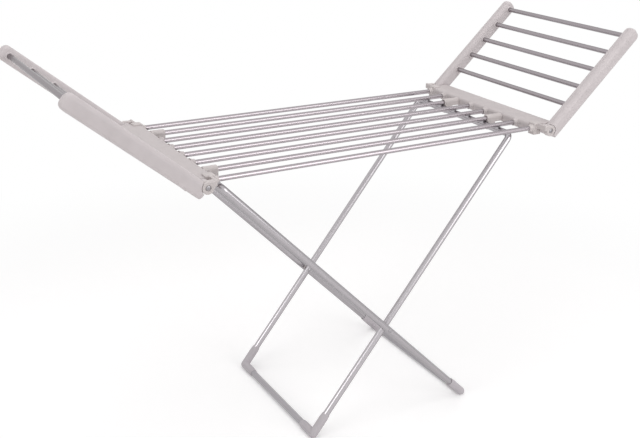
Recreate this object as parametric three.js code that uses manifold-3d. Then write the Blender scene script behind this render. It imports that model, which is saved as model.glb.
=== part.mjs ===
// Heated clothes airer: a centre panel of heated bars, two folding wings and a crossed pair of leg frames.
// Millimetres, Z up, X along the airer, Y across it. The origin is on the floor under the middle.
import * as THREE from "three";
import { mergeVertices } from "three/addons/utils/BufferGeometryUtils.js";
import Module from "manifold-3d";

const wasm = await Module();
wasm.setup();

// Clearances and facets
const FIT_GAP = 0.3; // between pieces that touch
const SWING_GAP = 1; // between pieces that swing past each other
const CUT_OVERRUN = 2; // how far a cutter runs past what it cuts
const TUBE_SIDES = 16;
const BORE_SIDES = 8;
const ROUND_SIDES = 12;
const WIRE_SIDES = 5;
const OUTSIDE_ARC_SEGMENTS = 2;
const HOLLOW_ARC_SEGMENTS = 1;

// Centre panel
const BAR_COUNT = 8;
const BAR_PITCH = 68;
const BAR_DIAMETER = 13.5;
const BAR_WALL = 1;
const BAR_HEIGHT = 839; // bar axis above the floor
const PANEL_LENGTH = 1002; // between the inner faces of the two crossbeams
const BAR_INSERT = 25; // bar inside a crossbeam

// Crossbeams, one at each end of the centre panel
const CROSSBEAM_WIDTH = 79;
const CROSSBEAM_RISE = 13; // above the bar axis
const CROSSBEAM_FLOOR_GAP = 4.25; // under the bars
const CROSSBEAM_MARGIN = 11; // past the outermost bar axis
const CROSSBEAM_WALL = 2.5;
const CROSSBEAM_INNER_ROUND = 7;
const CROSSBEAM_OUTER_ROUND = 9;
const CROSSBEAM_FOOT_ROUND = 3;
const BOSS_WALL = 2.5;
const BOSS_LENGTH = 11;
const RIGHT_BOSS_BARS = [1, 3, 4, 6];
const LEFT_BOSS_BARS = [2, 3, 4, 5];

// Corner joints, where the outermost bar, a crossbeam and a wing meet
const JOINT_RISE = 16; // above the bar axis
const JOINT_DROP = 19; // below the bar axis
const JOINT_INNER_MARGIN = 13; // inside the outermost bar axis
const JOINT_PIN_WALL = 2.7; // between its block and the hinge pin's hole
const SHOULDER_INSET = 10; // from the crossbeam's inner face
const COLLAR_WALL = 3;
const COLLAR_LIP = 0.8; // the collar's wall at its mouth
const COLLAR_LENGTH = 11;
const KNUCKLE_DIAMETER = 32;
const HINGE_INSET = 34; // from the crossbeam's inner face
const HINGE_DROP = 2; // hinge axis below the bar axis
const HINGE_PIN_DIAMETER = 8;
const HINGE_HEAD_DIAMETER = 14;
const HINGE_HEAD_THICKNESS = 2.5;
const HINGE_GRIP = 5; // pin inside the crossbeam

// Wings
const WING_BAR_COUNT = 5;
const WING_BAR_DIAMETER = 14;
const RIGHT_WING_RISE = 43; // degrees above level, as set up
const LEFT_WING_RISE = 39.5;
const RAIL_DEPTH = 41;
const RAIL_THICKNESS = 33;
const RAIL_WALL = 2.5;
const RAIL_EDGE_ROUND = 12;
const RAIL_TIP_ROUND = 15;
const RAIL_HEEL_ROUND = 3;
const RAIL_OVER_HINGE = 7; // rail's upper face above the hinge axis
const RAIL_FIRST_BAR = 103; // from the hinge axis
const RAIL_TIP_REACH = 24; // past the last bar axis
const RAIL_COLLAR_WALL = 2.2;
const RAIL_COLLAR_LENGTH = 2.5;
const LUG_DIAMETER = 28;

// Leg frames
const LEG_DIAMETER = 19;
const LEG_WALL = 1;
const LEG_SPACING = 3.5; // between the two frames' legs
const LEG_BEND_RADIUS = 30;
const LEG_BEND_STEPS = 4;
const LEG_SPIGOT_LENGTH = 20;
const LEG_PLUG_LENGTH = 4;
const INNER_LEG_Y = 218.5;
const INNER_TOP_INSET = 60; // inner frame's top tube, from the right crossbeam
const INNER_TOP_GAP = 1.25; // under the bars
const INNER_FOOT_X = -195;
const OUTER_TOP_INSET = 16; // outer frame's top tube, from the left crossbeam
const OUTER_TOP_GAP = 4.75;
const OUTER_FOOT_X = 324.5;
const ELBOW_WALL = 2.7;
const ELBOW_LEG_LENGTH = 68;
const ELBOW_BAR_LENGTH = 62;
const ELBOW_TUBE_STOP = 11.5; // corner to tube end
const ELBOW_FLAT_DEPTH = 1;
const RIVET_DIAMETER = 6;
const RIVET_HEAD_DIAMETER = 12;
const RIVET_HEAD_THICKNESS = 2.4;
const WASHER_DIAMETER = 15;

// Clips that hold the two top tubes under the bars
const CLIP_WIDTH = 22;
const CLIP_WALL = 3.5;
const CLIP_ROUND = 7;
const CLIP_REACH = 39; // of a bearing clip along its bar
const CATCH_GAP = 1; // round the top tube that lifts out
const CATCH_SETBACK = 4; // of a catch clip's open side, from the top tube's axis
const CATCH_BACK = 34; // of its hook's closed side
const CATCH_CLIP_BAR = 5;
const BEARING_CLIP_BAR = 6;

// Heater wire and cord inlet
const WIRE_DIAMETER = 3;
const WIRE_BEND_RADIUS = 6;
const WIRE_BEND_STEPS = 2;
const WIRE_TURN_INSET = 33; // of its turns inside a crossbeam
const WIRE_LEAD_INSET = 53; // of its two ends inside the left crossbeam
const WIRE_TAIL = 14; // from the hinge knuckle to a wing wire's end
const GLAND_BAR_OFFSET = 20; // from the last bar but one
const GLAND_DIAMETER = 20;
const GLAND_LENGTH = 12;
const GLAND_NECK_DIAMETER = 10;
const GLAND_BORE_DIAMETER = 7;

// Places that follow from the sizes
const outerBarY = barY(BAR_COUNT - 1);
const crossbeamInnerX = PANEL_LENGTH / 2;
const crossbeamOuterX = crossbeamInnerX + CROSSBEAM_WIDTH;
const crossbeamEndY = outerBarY + CROSSBEAM_MARGIN;
const crossbeamLow = BAR_HEIGHT - BAR_DIAMETER / 2 - CROSSBEAM_FLOOR_GAP - CROSSBEAM_WALL;
const crossbeamHigh = BAR_HEIGHT + CROSSBEAM_RISE;
const hingeX = crossbeamInnerX + HINGE_INSET;
const hingeZ = BAR_HEIGHT - HINGE_DROP;
const jointInnerY = outerBarY - JOINT_INNER_MARGIN;
const jointEndX = hingeX - HINGE_PIN_DIAMETER / 2 - FIT_GAP - JOINT_PIN_WALL;
const railInnerY = crossbeamEndY + 2 * SWING_GAP;
const railOuterY = railInnerY + RAIL_THICKNESS;
const railSplitY = (railInnerY + railOuterY) / 2;
const railLowN = RAIL_OVER_HINGE - RAIL_DEPTH;
const railLength = wingBarAlong(WING_BAR_COUNT - 1) + RAIL_TIP_REACH;
const wingBarN = RAIL_OVER_HINGE - RAIL_DEPTH / 2;
const clipTop = BAR_HEIGHT + BAR_DIAMETER / 2 + FIT_GAP + CLIP_WALL;
const elbowRadius = LEG_DIAMETER / 2 + FIT_GAP + ELBOW_WALL;
const footZ = elbowRadius - ELBOW_FLAT_DEPTH;
const glandX = (crossbeamInnerX + crossbeamOuterX) / 2;
const glandY = barY(BAR_COUNT - 2) + GLAND_BAR_OFFSET;
const topTubeZ = BAR_HEIGHT - (BAR_DIAMETER + LEG_DIAMETER) / 2;
const outerLegY = INNER_LEG_Y + LEG_DIAMETER + LEG_SPACING;
const innerTopX = crossbeamInnerX - INNER_TOP_INSET;
const outerTopX = OUTER_TOP_INSET - crossbeamInnerX;
const innerTop = new THREE.Vector3(innerTopX, INNER_LEG_Y, topTubeZ - INNER_TOP_GAP);
const innerFoot = new THREE.Vector3(INNER_FOOT_X, INNER_LEG_Y, footZ);
const outerTop = new THREE.Vector3(outerTopX, outerLegY, topTubeZ - OUTER_TOP_GAP);
const outerFoot = new THREE.Vector3(OUTER_FOOT_X, outerLegY, footZ);
const crossing = crossingOf(innerTop, innerFoot, outerTop, outerFoot);

function barY(index) {
  return (index - (BAR_COUNT - 1) / 2) * BAR_PITCH;
}

function wingBarAlong(index) {
  return RAIL_FIRST_BAR + index * BAR_PITCH;
}

// Materials

const COLOURS = {
  railPlastic: { color: "#c9c4c2", roughness: 0.55, metalness: 0 },
  housingPlastic: { color: "#bfb9b8", roughness: 0.55, metalness: 0 },
  jointPlastic: { color: "#c4bebd", roughness: 0.5, metalness: 0 },
  elbowPlastic: { color: "#b3aeb0", roughness: 0.6, metalness: 0 },
  heatedBar: { color: "#b9b6ba", roughness: 0.35, metalness: 0.9 },
  legTube: { color: "#c6c3c7", roughness: 0.3, metalness: 0.9 },
  floorBar: { color: "#a3a0a5", roughness: 0.5, metalness: 0.5 },
  steelPin: { color: "#9c9a9d", roughness: 0.35, metalness: 1 },
  wireSleeve: { color: "#e4e0d8", roughness: 0.7, metalness: 0 },
};

function materialOf(name) {
  return new THREE.MeshStandardMaterial(COLOURS[name]);
}

// Geometry helpers

function solidOf(geometry) {
  const bare = geometry.clone();
  bare.deleteAttribute("normal");
  bare.deleteAttribute("uv");
  const merged = mergeVertices(bare);
  const mesh = new wasm.Mesh({
    numProp: 3,
    vertProperties: merged.attributes.position.array,
    triVerts: new Uint32Array(merged.index.array),
  });
  return new wasm.Manifold(mesh);
}

function geometryOf(solid) {
  const mesh = solid.getMesh();
  const geometry = new THREE.BufferGeometry();
  geometry.setAttribute("position", new THREE.BufferAttribute(mesh.vertProperties, 3));
  geometry.setIndex(new THREE.BufferAttribute(mesh.triVerts, 1));
  return geometry;
}

function block(x0, x1, y0, y1, z0, z1) {
  const geometry = new THREE.BoxGeometry(x1 - x0, y1 - y0, z1 - z0);
  geometry.translate((x0 + x1) / 2, (y0 + y1) / 2, (z0 + z1) / 2);
  return solidOf(geometry);
}

// A round rod from one point to another; a second radius makes it a cone.
function rod(from, to, radius, endRadius = radius) {
  const span = new THREE.Vector3().subVectors(to, from);
  const geometry = new THREE.CylinderGeometry(endRadius, radius, span.length(), ROUND_SIDES);
  geometry.translate(0, span.length() / 2, 0);
  const turn = new THREE.Quaternion().setFromUnitVectors(
    new THREE.Vector3(0, 1, 0),
    span.normalize(),
  );
  geometry.applyQuaternion(turn);
  geometry.translate(from.x, from.y, from.z);
  return solidOf(geometry);
}

function rodX(x0, x1, y, z, radius, endRadius) {
  return rod(new THREE.Vector3(x0, y, z), new THREE.Vector3(x1, y, z), radius, endRadius);
}

function rodY(x, y0, y1, z, radius, endRadius) {
  return rod(new THREE.Vector3(x, y0, z), new THREE.Vector3(x, y1, z), radius, endRadius);
}

function rodZ(x, y, z0, z1, radius, endRadius) {
  return rod(new THREE.Vector3(x, y, z0), new THREE.Vector3(x, y, z1), radius, endRadius);
}

// The corner radius of a bore whose flat sides clear a round piece of this diameter.
function boreRadius(diameter, gap = FIT_GAP) {
  return (diameter / 2 + gap) / Math.cos(Math.PI / ROUND_SIDES);
}

// A rectangle whose four corners are rounded: low left, low right, high right, high left.
function roundedShape(x0, x1, y0, y1, radii) {
  const [lowLeft, lowRight, highRight, highLeft] = radii;
  const quarter = Math.PI / 2;
  const shape = new THREE.Shape();
  shape.absarc(x0 + lowLeft, y0 + lowLeft, lowLeft, 2 * quarter, 3 * quarter, false);
  shape.absarc(x1 - lowRight, y0 + lowRight, lowRight, 3 * quarter, 4 * quarter, false);
  shape.absarc(x1 - highRight, y1 - highRight, highRight, 0, quarter, false);
  shape.absarc(x0 + highLeft, y1 - highLeft, highLeft, quarter, 2 * quarter, false);
  return shape;
}

// Extrudes a shape drawn in X and Z along Y.
function prismY(shape, y0, y1, curveSegments) {
  const depth = y1 - y0;
  const geometry = new THREE.ExtrudeGeometry(shape, { depth, curveSegments, bevelEnabled: false });
  geometry.rotateX(Math.PI / 2);
  geometry.translate(0, y1, 0);
  return solidOf(geometry);
}

// Extrudes a shape drawn in Y and Z along X.
function prismX(shape, x0, x1, curveSegments) {
  const depth = x1 - x0;
  const geometry = new THREE.ExtrudeGeometry(shape, { depth, curveSegments, bevelEnabled: false });
  const turn = new THREE.Matrix4().makeBasis(
    new THREE.Vector3(0, 1, 0),
    new THREE.Vector3(0, 0, 1),
    new THREE.Vector3(1, 0, 0),
  );
  geometry.applyMatrix4(turn);
  geometry.translate(x0, 0, 0);
  return solidOf(geometry);
}

// A path through given points, with a ring of the swept tube at each point.
class Route extends THREE.Curve {
  constructor(points) {
    super();
    this.points = points;
  }

  getPoint(t, target = new THREE.Vector3()) {
    const place = t * (this.points.length - 1);
    const index = Math.min(Math.floor(place), this.points.length - 2);
    return target.lerpVectors(this.points[index], this.points[index + 1], place - index);
  }

  getPointAt(u, target) {
    return this.getPoint(u, target);
  }

  getTangentAt(u, target = new THREE.Vector3()) {
    const { points } = this;
    const last = points.length - 1;
    const index = Math.round(u * last);
    const into = direction(points[Math.max(index - 1, 0)], points[Math.max(index, 1)]);
    const onward = direction(points[Math.min(index, last - 1)], points[Math.min(index + 1, last)]);
    return target.addVectors(into, onward).normalize();
  }
}

function direction(from, to) {
  return new THREE.Vector3().subVectors(to, from).normalize();
}

// Corner points joined by straight runs, with each inner corner rounded by an arc.
function roundedRoute(corners, radius, steps) {
  const points = [corners[0]];
  for (let i = 1; i < corners.length - 1; i++) {
    const back = direction(corners[i], corners[i - 1]);
    const onward = direction(corners[i], corners[i + 1]);
    const half = back.angleTo(onward) / 2;
    const middle = new THREE.Vector3().addVectors(back, onward).normalize();
    const centre = corners[i].clone().addScaledVector(middle, radius / Math.sin(half));
    const start = corners[i].clone().addScaledVector(back, radius / Math.tan(half));
    const end = corners[i].clone().addScaledVector(onward, radius / Math.tan(half));
    const from = direction(centre, start);
    const turn = new THREE.Quaternion().setFromUnitVectors(from, direction(centre, end));
    for (let step = 0; step <= steps; step++) {
      const part = new THREE.Quaternion().slerp(turn, step / steps);
      const spoke = from.clone().applyQuaternion(part);
      points.push(centre.clone().addScaledVector(spoke, radius));
    }
  }
  points.push(corners[corners.length - 1]);
  return new Route(points);
}

function ringPoints(radius, sides) {
  const points = [];
  for (let i = 0; i < sides; i++) {
    const angle = (2 * Math.PI * i) / sides;
    points.push(new THREE.Vector2(radius * Math.cos(angle), radius * Math.sin(angle)));
  }
  return points;
}

// A tube along a route; a bore radius of zero makes it a solid wire.
function sweep(route, radius, bore, sides) {
  const shape = new THREE.Shape(ringPoints(radius, sides));
  if (bore > 0) shape.holes.push(new THREE.Path(ringPoints(bore, BORE_SIDES)));
  const geometry = new THREE.ExtrudeGeometry(shape, {
    steps: route.points.length - 1,
    extrudePath: route,
    bevelEnabled: false,
  });
  return solidOf(geometry);
}

function straightTube(from, to, diameter, wall) {
  return sweep(new Route([from, to]), diameter / 2, diameter / 2 - wall, TUBE_SIDES);
}

function wireAlong(corners) {
  const route = roundedRoute(corners, WIRE_BEND_RADIUS, WIRE_BEND_STEPS);
  return sweep(route, WIRE_DIAMETER / 2, 0, WIRE_SIDES);
}

// How far below a bar's axis its wire lies.
function wireDrop(barDiameter) {
  return barDiameter / 2 - BAR_WALL - WIRE_DIAMETER / 2 - FIT_GAP;
}

// Where two lines in the XZ plane meet.
function crossingOf(a, b, c, d) {
  const ab = new THREE.Vector2(b.x - a.x, b.z - a.z);
  const cd = new THREE.Vector2(d.x - c.x, d.z - c.z);
  const ac = new THREE.Vector2(c.x - a.x, c.z - a.z);
  const share = ac.cross(cd) / ab.cross(cd);
  return new THREE.Vector3(a.x + share * ab.x, 0, a.z + share * ab.y);
}

function addMesh(group, name, solid, material) {
  const mesh = new THREE.Mesh(geometryOf(solid), materialOf(material));
  mesh.name = name;
  group.add(mesh);
  return mesh;
}

// Adds a piece made on the far side as a far copy and a near copy.
function addPair(group, name, solid, material) {
  addMesh(group, name + "_far", solid, material);
  addMesh(group, name + "_near", solid, material).scale.y = -1;
}

// Centre panel

function centreBar(index) {
  const y = barY(index);
  const end = crossbeamInnerX + BAR_INSERT;
  const from = new THREE.Vector3(-end, y, BAR_HEIGHT);
  const to = new THREE.Vector3(end, y, BAR_HEIGHT);
  return straightTube(from, to, BAR_DIAMETER, BAR_WALL);
}

function crossbeamPrism(inset, endY, curveSegments) {
  const rounds = [
    CROSSBEAM_FOOT_ROUND,
    CROSSBEAM_FOOT_ROUND,
    CROSSBEAM_OUTER_ROUND - inset,
    CROSSBEAM_INNER_ROUND - inset,
  ];
  const shape = roundedShape(
    crossbeamInnerX + inset,
    crossbeamOuterX - inset,
    crossbeamLow + inset,
    crossbeamHigh - inset,
    rounds,
  );
  return prismY(shape, -endY, endY, curveSegments);
}

// The whole crossbeam shell at the right end, before it is split at the bar axis.
function crossbeamShell(bossedBars) {
  const hollowEndY = crossbeamEndY - CROSSBEAM_WALL;
  const wallX = crossbeamInnerX + CROSSBEAM_WALL;
  const mouthX = crossbeamInnerX - BOSS_LENGTH;
  const hole = boreRadius(BAR_DIAMETER);
  let shell = crossbeamPrism(0, crossbeamEndY, OUTSIDE_ARC_SEGMENTS);
  shell = shell.subtract(crossbeamPrism(CROSSBEAM_WALL, hollowEndY, HOLLOW_ARC_SEGMENTS));
  for (const index of bossedBars) {
    shell = shell.add(rodX(mouthX, wallX, barY(index), BAR_HEIGHT, hole + BOSS_WALL));
  }
  for (let index = 0; index < BAR_COUNT; index++) {
    const bore = rodX(mouthX - CUT_OVERRUN, wallX + CUT_OVERRUN, barY(index), BAR_HEIGHT, hole);
    shell = shell.subtract(bore);
  }
  return shell.subtract(crossbeamEndCuts(1)).subtract(crossbeamEndCuts(-1));
}

// What the corner joint and the hinge pin take out of a crossbeam's end.
function crossbeamEndCuts(side) {
  const inner = side * (jointInnerY - FIT_GAP);
  const outer = side * (crossbeamEndY + CUT_OVERRUN);
  const pinInner = side * (crossbeamEndY - CROSSBEAM_WALL - CUT_OVERRUN);
  const notch = block(
    crossbeamInnerX - CUT_OVERRUN,
    jointEndX + FIT_GAP,
    Math.min(inner, outer),
    Math.max(inner, outer),
    crossbeamLow - CUT_OVERRUN,
    crossbeamHigh + CUT_OVERRUN,
  );
  return notch.add(rodY(hingeX, pinInner, outer, hingeZ, boreRadius(HINGE_PIN_DIAMETER)));
}

function crossbeamHalf(shell, upper) {
  const startX = crossbeamInnerX - BOSS_LENGTH - CUT_OVERRUN;
  const endX = crossbeamOuterX + CUT_OVERRUN;
  const endY = crossbeamEndY + CUT_OVERRUN;
  const low = upper ? BAR_HEIGHT + FIT_GAP / 2 : crossbeamLow - CUT_OVERRUN;
  const high = upper ? crossbeamHigh + CUT_OVERRUN : BAR_HEIGHT - FIT_GAP / 2;
  return shell.intersect(block(startX, endX, -endY, endY, low, high));
}

// Corner joint at the far right: a collar and block on the outermost bar, and the fixed hinge knuckle.
function cornerJoint() {
  const top = BAR_HEIGHT + JOINT_RISE;
  const knuckleRadius = KNUCKLE_DIAMETER / 2;
  const knuckleInnerY = railSplitY + FIT_GAP / 2;
  const armLow = hingeZ + SWING_GAP;
  const shoulderX = crossbeamInnerX + SHOULDER_INSET;
  const holderLow = BAR_HEIGHT - JOINT_DROP;
  const shoulderEndX = hingeX - LUG_DIAMETER / 2 - 2 * SWING_GAP;
  const holderEndY = crossbeamEndY + SWING_GAP;
  const mouthX = crossbeamInnerX - COLLAR_LENGTH;
  const rootX = crossbeamInnerX + CUT_OVERRUN;
  const hole = boreRadius(BAR_DIAMETER);
  const lip = hole + COLLAR_LIP;
  const root = hole + COLLAR_WALL;
  const pastY = railOuterY + CUT_OVERRUN;
  const recessY = railOuterY - HINGE_HEAD_THICKNESS - 2 * FIT_GAP;
  return block(crossbeamInnerX, jointEndX, jointInnerY, holderEndY, holderLow, top)
    .add(block(shoulderX, shoulderEndX, outerBarY, railOuterY, armLow, top))
    .add(block(shoulderX, hingeX, knuckleInnerY, railOuterY, armLow, hingeZ + knuckleRadius))
    .add(rodY(hingeX, knuckleInnerY, railOuterY, hingeZ, knuckleRadius))
    .add(rodX(mouthX, rootX, outerBarY, BAR_HEIGHT, lip, root))
    .subtract(rodX(mouthX - CUT_OVERRUN, jointEndX + CUT_OVERRUN, outerBarY, BAR_HEIGHT, hole))
    .subtract(rodY(hingeX, railSplitY, pastY, hingeZ, boreRadius(HINGE_PIN_DIAMETER)))
    .subtract(rodY(hingeX, recessY, pastY, hingeZ, boreRadius(HINGE_HEAD_DIAMETER)));
}

function hingePin() {
  const startY = crossbeamEndY - HINGE_GRIP;
  const endY = railOuterY - FIT_GAP;
  const headY = endY - HINGE_HEAD_THICKNESS;
  const shank = rodY(hingeX, startY, headY, hingeZ, HINGE_PIN_DIAMETER / 2);
  return shank.add(rodY(hingeX, headY, endY, hingeZ, HINGE_HEAD_DIAMETER / 2));
}

// A clip's sleeve along its bar, with its two upper edges rounded.
function clipSleeve(startX, endX, y0, y1, low) {
  const foot = CLIP_WALL / 2;
  const shape = roundedShape(y0, y1, low, clipTop, [foot, foot, CLIP_ROUND, CLIP_ROUND]);
  return prismX(shape, startX, endX, OUTSIDE_ARC_SEGMENTS);
}

// Clip at the left end, drawn at the right: a sleeve on its bar, and the bearing of a top tube.
function bearingClip() {
  const y = barY(BEARING_CLIP_BAR);
  const y0 = y - CLIP_WIDTH / 2;
  const y1 = y + CLIP_WIDTH / 2;
  const endX = crossbeamInnerX - FIT_GAP;
  const startX = endX - CLIP_REACH;
  const hole = boreRadius(LEG_DIAMETER);
  const barHole = boreRadius(BAR_DIAMETER);
  return clipSleeve(startX, endX, y0, y1, outerTop.z)
    .add(rodY(-outerTopX, y0, y1, outerTop.z, hole + CLIP_WALL))
    .subtract(rodX(startX - CUT_OVERRUN, endX + CUT_OVERRUN, y, BAR_HEIGHT, barHole))
    .subtract(rodY(-outerTopX, y0 - CUT_OVERRUN, y1 + CUT_OVERRUN, outerTop.z, hole));
}

// Clip at the right end: a sleeve on its bar, and a hook, open inwards, for a top tube.
function catchClip() {
  const y = barY(CATCH_CLIP_BAR);
  const y0 = y - CLIP_WIDTH / 2;
  const y1 = y + CLIP_WIDTH / 2;
  const endX = crossbeamInnerX - FIT_GAP;
  const startX = innerTopX + CATCH_SETBACK;
  const hole = boreRadius(LEG_DIAMETER, CATCH_GAP);
  const barHole = boreRadius(BAR_DIAMETER);
  const hookEndX = innerTopX + CATCH_BACK;
  const hookLow = innerTop.z - hole - CLIP_WALL;
  const sleeveLow = BAR_HEIGHT - BAR_DIAMETER / 2 - FIT_GAP - CLIP_WALL;
  return clipSleeve(startX, endX, y0, y1, sleeveLow)
    .add(block(startX, hookEndX, y0, y1, hookLow, BAR_HEIGHT))
    .subtract(rodX(startX - CUT_OVERRUN, endX + CUT_OVERRUN, y, BAR_HEIGHT, barHole))
    .subtract(rodY(innerTopX, y0 - CUT_OVERRUN, y1 + CUT_OVERRUN, innerTop.z, hole));
}

function cordGland() {
  const top = crossbeamLow - FIT_GAP;
  const low = top - GLAND_LENGTH;
  const neckTop = crossbeamLow + CROSSBEAM_WALL + FIT_GAP;
  const bore = GLAND_BORE_DIAMETER / 2;
  return rodZ(-glandX, glandY, low, top, GLAND_DIAMETER / 3, GLAND_DIAMETER / 2)
    .add(rodZ(-glandX, glandY, top - CUT_OVERRUN, neckTop, GLAND_NECK_DIAMETER / 2))
    .subtract(rodZ(-glandX, glandY, low - CUT_OVERRUN, neckTop + CUT_OVERRUN, bore));
}

function glandHole() {
  const low = crossbeamLow - CUT_OVERRUN;
  const high = crossbeamLow + CROSSBEAM_WALL + CUT_OVERRUN;
  return rodZ(glandX, glandY, low, high, boreRadius(GLAND_NECK_DIAMETER));
}

// One heater wire runs back and forth through all the centre bars and ends over the cord gland.
function centreWire() {
  const z = BAR_HEIGHT - wireDrop(BAR_DIAMETER);
  const turnX = crossbeamInnerX + WIRE_TURN_INSET;
  const leadX = -crossbeamInnerX - WIRE_LEAD_INSET;
  const last = BAR_COUNT - 1;
  const corners = [new THREE.Vector3(leadX, glandY - GLAND_DIAMETER, z)];
  for (let index = 0; index < BAR_COUNT; index++) {
    const endX = index % 2 === 0 ? turnX : -turnX;
    const from = index === 0 ? leadX : -endX;
    const to = index === last ? leadX : endX;
    corners.push(new THREE.Vector3(from, barY(index), z));
    corners.push(new THREE.Vector3(to, barY(index), z));
  }
  corners.push(new THREE.Vector3(leadX, glandY + GLAND_DIAMETER / 2, z));
  return wireAlong(corners);
}

// Wings, drawn with the hinge axis at X = Z = 0 and the rails along +X

function wingBar(index) {
  const along = wingBarAlong(index);
  const end = railSplitY - SWING_GAP;
  const from = new THREE.Vector3(along, -end, wingBarN);
  const to = new THREE.Vector3(along, end, wingBarN);
  return straightTube(from, to, WING_BAR_DIAMETER, BAR_WALL);
}

function railBody(inset, curveSegments) {
  const low = railLowN + inset;
  const high = RAIL_OVER_HINGE - inset;
  const edge = RAIL_EDGE_ROUND - inset;
  const tip = RAIL_TIP_ROUND - inset;
  const heel = RAIL_HEEL_ROUND;
  const edges = [edge, edge, edge, edge];
  const section = roundedShape(railInnerY + inset, railOuterY - inset, low, high, edges);
  const side = roundedShape(inset, railLength - inset, low, high, [heel, tip, tip, heel]);
  const length = prismX(section, 0, railLength, curveSegments);
  return length.intersect(prismY(side, railInnerY, railOuterY, curveSegments));
}

function railSlice(y0, y1) {
  const shell = railBody(0, OUTSIDE_ARC_SEGMENTS).subtract(railBody(RAIL_WALL, HOLLOW_ARC_SEGMENTS));
  const low = railLowN - CUT_OVERRUN;
  const high = RAIL_OVER_HINGE + CUT_OVERRUN;
  return shell.intersect(block(-CUT_OVERRUN, railLength + CUT_OVERRUN, y0, y1, low, high));
}

// The rail's outer half stops short of the fixed knuckle.
function railOuter() {
  const pastY = railOuterY + CUT_OVERRUN;
  const knuckle = rodY(0, railInnerY, pastY, 0, boreRadius(KNUCKLE_DIAMETER, SWING_GAP));
  return railSlice(railSplitY + FIT_GAP / 2, pastY).subtract(knuckle);
}

// The rail's inner half has the hinge lug and the seats of the bars.
function railInner() {
  const outerY = railSplitY - FIT_GAP / 2;
  const beforeY = railInnerY - CUT_OVERRUN;
  const collarY = railInnerY - RAIL_COLLAR_LENGTH;
  const wallY = railInnerY + RAIL_WALL;
  const seat = boreRadius(WING_BAR_DIAMETER);
  const pinHole = rodY(0, beforeY, outerY + CUT_OVERRUN, 0, boreRadius(HINGE_PIN_DIAMETER));
  let inner = railSlice(beforeY, outerY);
  inner = inner.add(rodY(0, railInnerY, outerY, 0, LUG_DIAMETER / 2)).subtract(pinHole);
  for (let index = 0; index < WING_BAR_COUNT; index++) {
    const along = wingBarAlong(index);
    const collar = rodY(along, collarY, wallY, wingBarN, seat + RAIL_COLLAR_WALL);
    const bore = rodY(along, collarY - CUT_OVERRUN, wallY + CUT_OVERRUN, wingBarN, seat);
    inner = inner.add(collar).subtract(bore);
  }
  return inner;
}

// The wing's heater wire runs back and forth through its bars and ends in the two rails.
function wingWire() {
  const z = wingBarN - wireDrop(WING_BAR_DIAMETER);
  const turnY = railSplitY + WIRE_BEND_RADIUS;
  const corners = [new THREE.Vector3(WIRE_TAIL + KNUCKLE_DIAMETER / 2, -turnY, z)];
  for (let index = 0; index < WING_BAR_COUNT; index++) {
    const endY = index % 2 === 0 ? turnY : -turnY;
    corners.push(new THREE.Vector3(wingBarAlong(index), -endY, z));
    corners.push(new THREE.Vector3(wingBarAlong(index), endY, z));
  }
  const last = corners[corners.length - 1];
  corners.push(new THREE.Vector3(last.x + 2 * WIRE_BEND_RADIUS, last.y, z));
  return wireAlong(corners);
}

// Leg frames

// How far across the airer a frame's straight top tube reaches.
function topTubeEndY(top) {
  return top.y - LEG_BEND_RADIUS - LEG_DIAMETER / 2;
}

// A leg on the far side, bent inwards at the top, with a spigot for the top tube.
function leg(top, foot) {
  const up = direction(foot, top);
  const start = foot.clone().addScaledVector(up, ELBOW_TUBE_STOP);
  const endY = topTubeEndY(top);
  const end = new THREE.Vector3(top.x, endY, top.z);
  const radius = LEG_DIAMETER / 2;
  const bore = radius - LEG_WALL;
  const spigotRadius = bore * Math.cos(Math.PI / BORE_SIDES) - FIT_GAP;
  const plugEndY = endY + LEG_PLUG_LENGTH;
  const holeY0 = top.y - LEG_DIAMETER;
  const holeY1 = top.y + LEG_DIAMETER;
  const route = roundedRoute([start, top, end], LEG_BEND_RADIUS, LEG_BEND_STEPS);
  return sweep(route, radius, bore, TUBE_SIDES)
    .add(rodY(top.x, endY, plugEndY, top.z, radius - LEG_WALL / 2))
    .add(rodY(top.x, endY - LEG_SPIGOT_LENGTH, plugEndY, top.z, spigotRadius))
    .subtract(rodY(crossing.x, holeY0, holeY1, crossing.z, boreRadius(RIVET_DIAMETER)));
}

function crossTube(x, endY, z) {
  const from = new THREE.Vector3(x, -endY, z);
  const to = new THREE.Vector3(x, endY, z);
  return straightTube(from, to, LEG_DIAMETER, LEG_WALL);
}

function topTube(top) {
  return crossTube(top.x, topTubeEndY(top) - FIT_GAP, top.z);
}

function floorBar(foot) {
  return crossTube(foot.x, foot.y - ELBOW_TUBE_STOP, foot.z);
}

// Elbow at a far foot, cut flat where it stands on the floor.
function elbow(top, foot) {
  const up = direction(foot, top);
  const socket = boreRadius(LEG_DIAMETER);
  const stop = ELBOW_TUBE_STOP - FIT_GAP;
  const legEnd = foot.clone().addScaledVector(up, ELBOW_LEG_LENGTH);
  const legStop = foot.clone().addScaledVector(up, stop);
  const legPast = foot.clone().addScaledVector(up, ELBOW_LEG_LENGTH + CUT_OVERRUN);
  const barEnd = foot.y - ELBOW_BAR_LENGTH;
  const ball = new THREE.SphereGeometry(elbowRadius, ROUND_SIDES, ROUND_SIDES / 2);
  ball.rotateX(Math.PI / 2);
  ball.translate(foot.x, foot.y, foot.z);
  const reach = 2 * elbowRadius;
  const floor = block(foot.x - reach, foot.x + reach, barEnd - reach, foot.y + reach, -reach, 0);
  return solidOf(ball)
    .add(rod(foot, legEnd, elbowRadius))
    .add(rodY(foot.x, barEnd, foot.y, foot.z, elbowRadius))
    .subtract(rod(legStop, legPast, socket))
    .subtract(rodY(foot.x, barEnd - CUT_OVERRUN, foot.y - stop, foot.z, socket))
    .subtract(floor);
}

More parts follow.
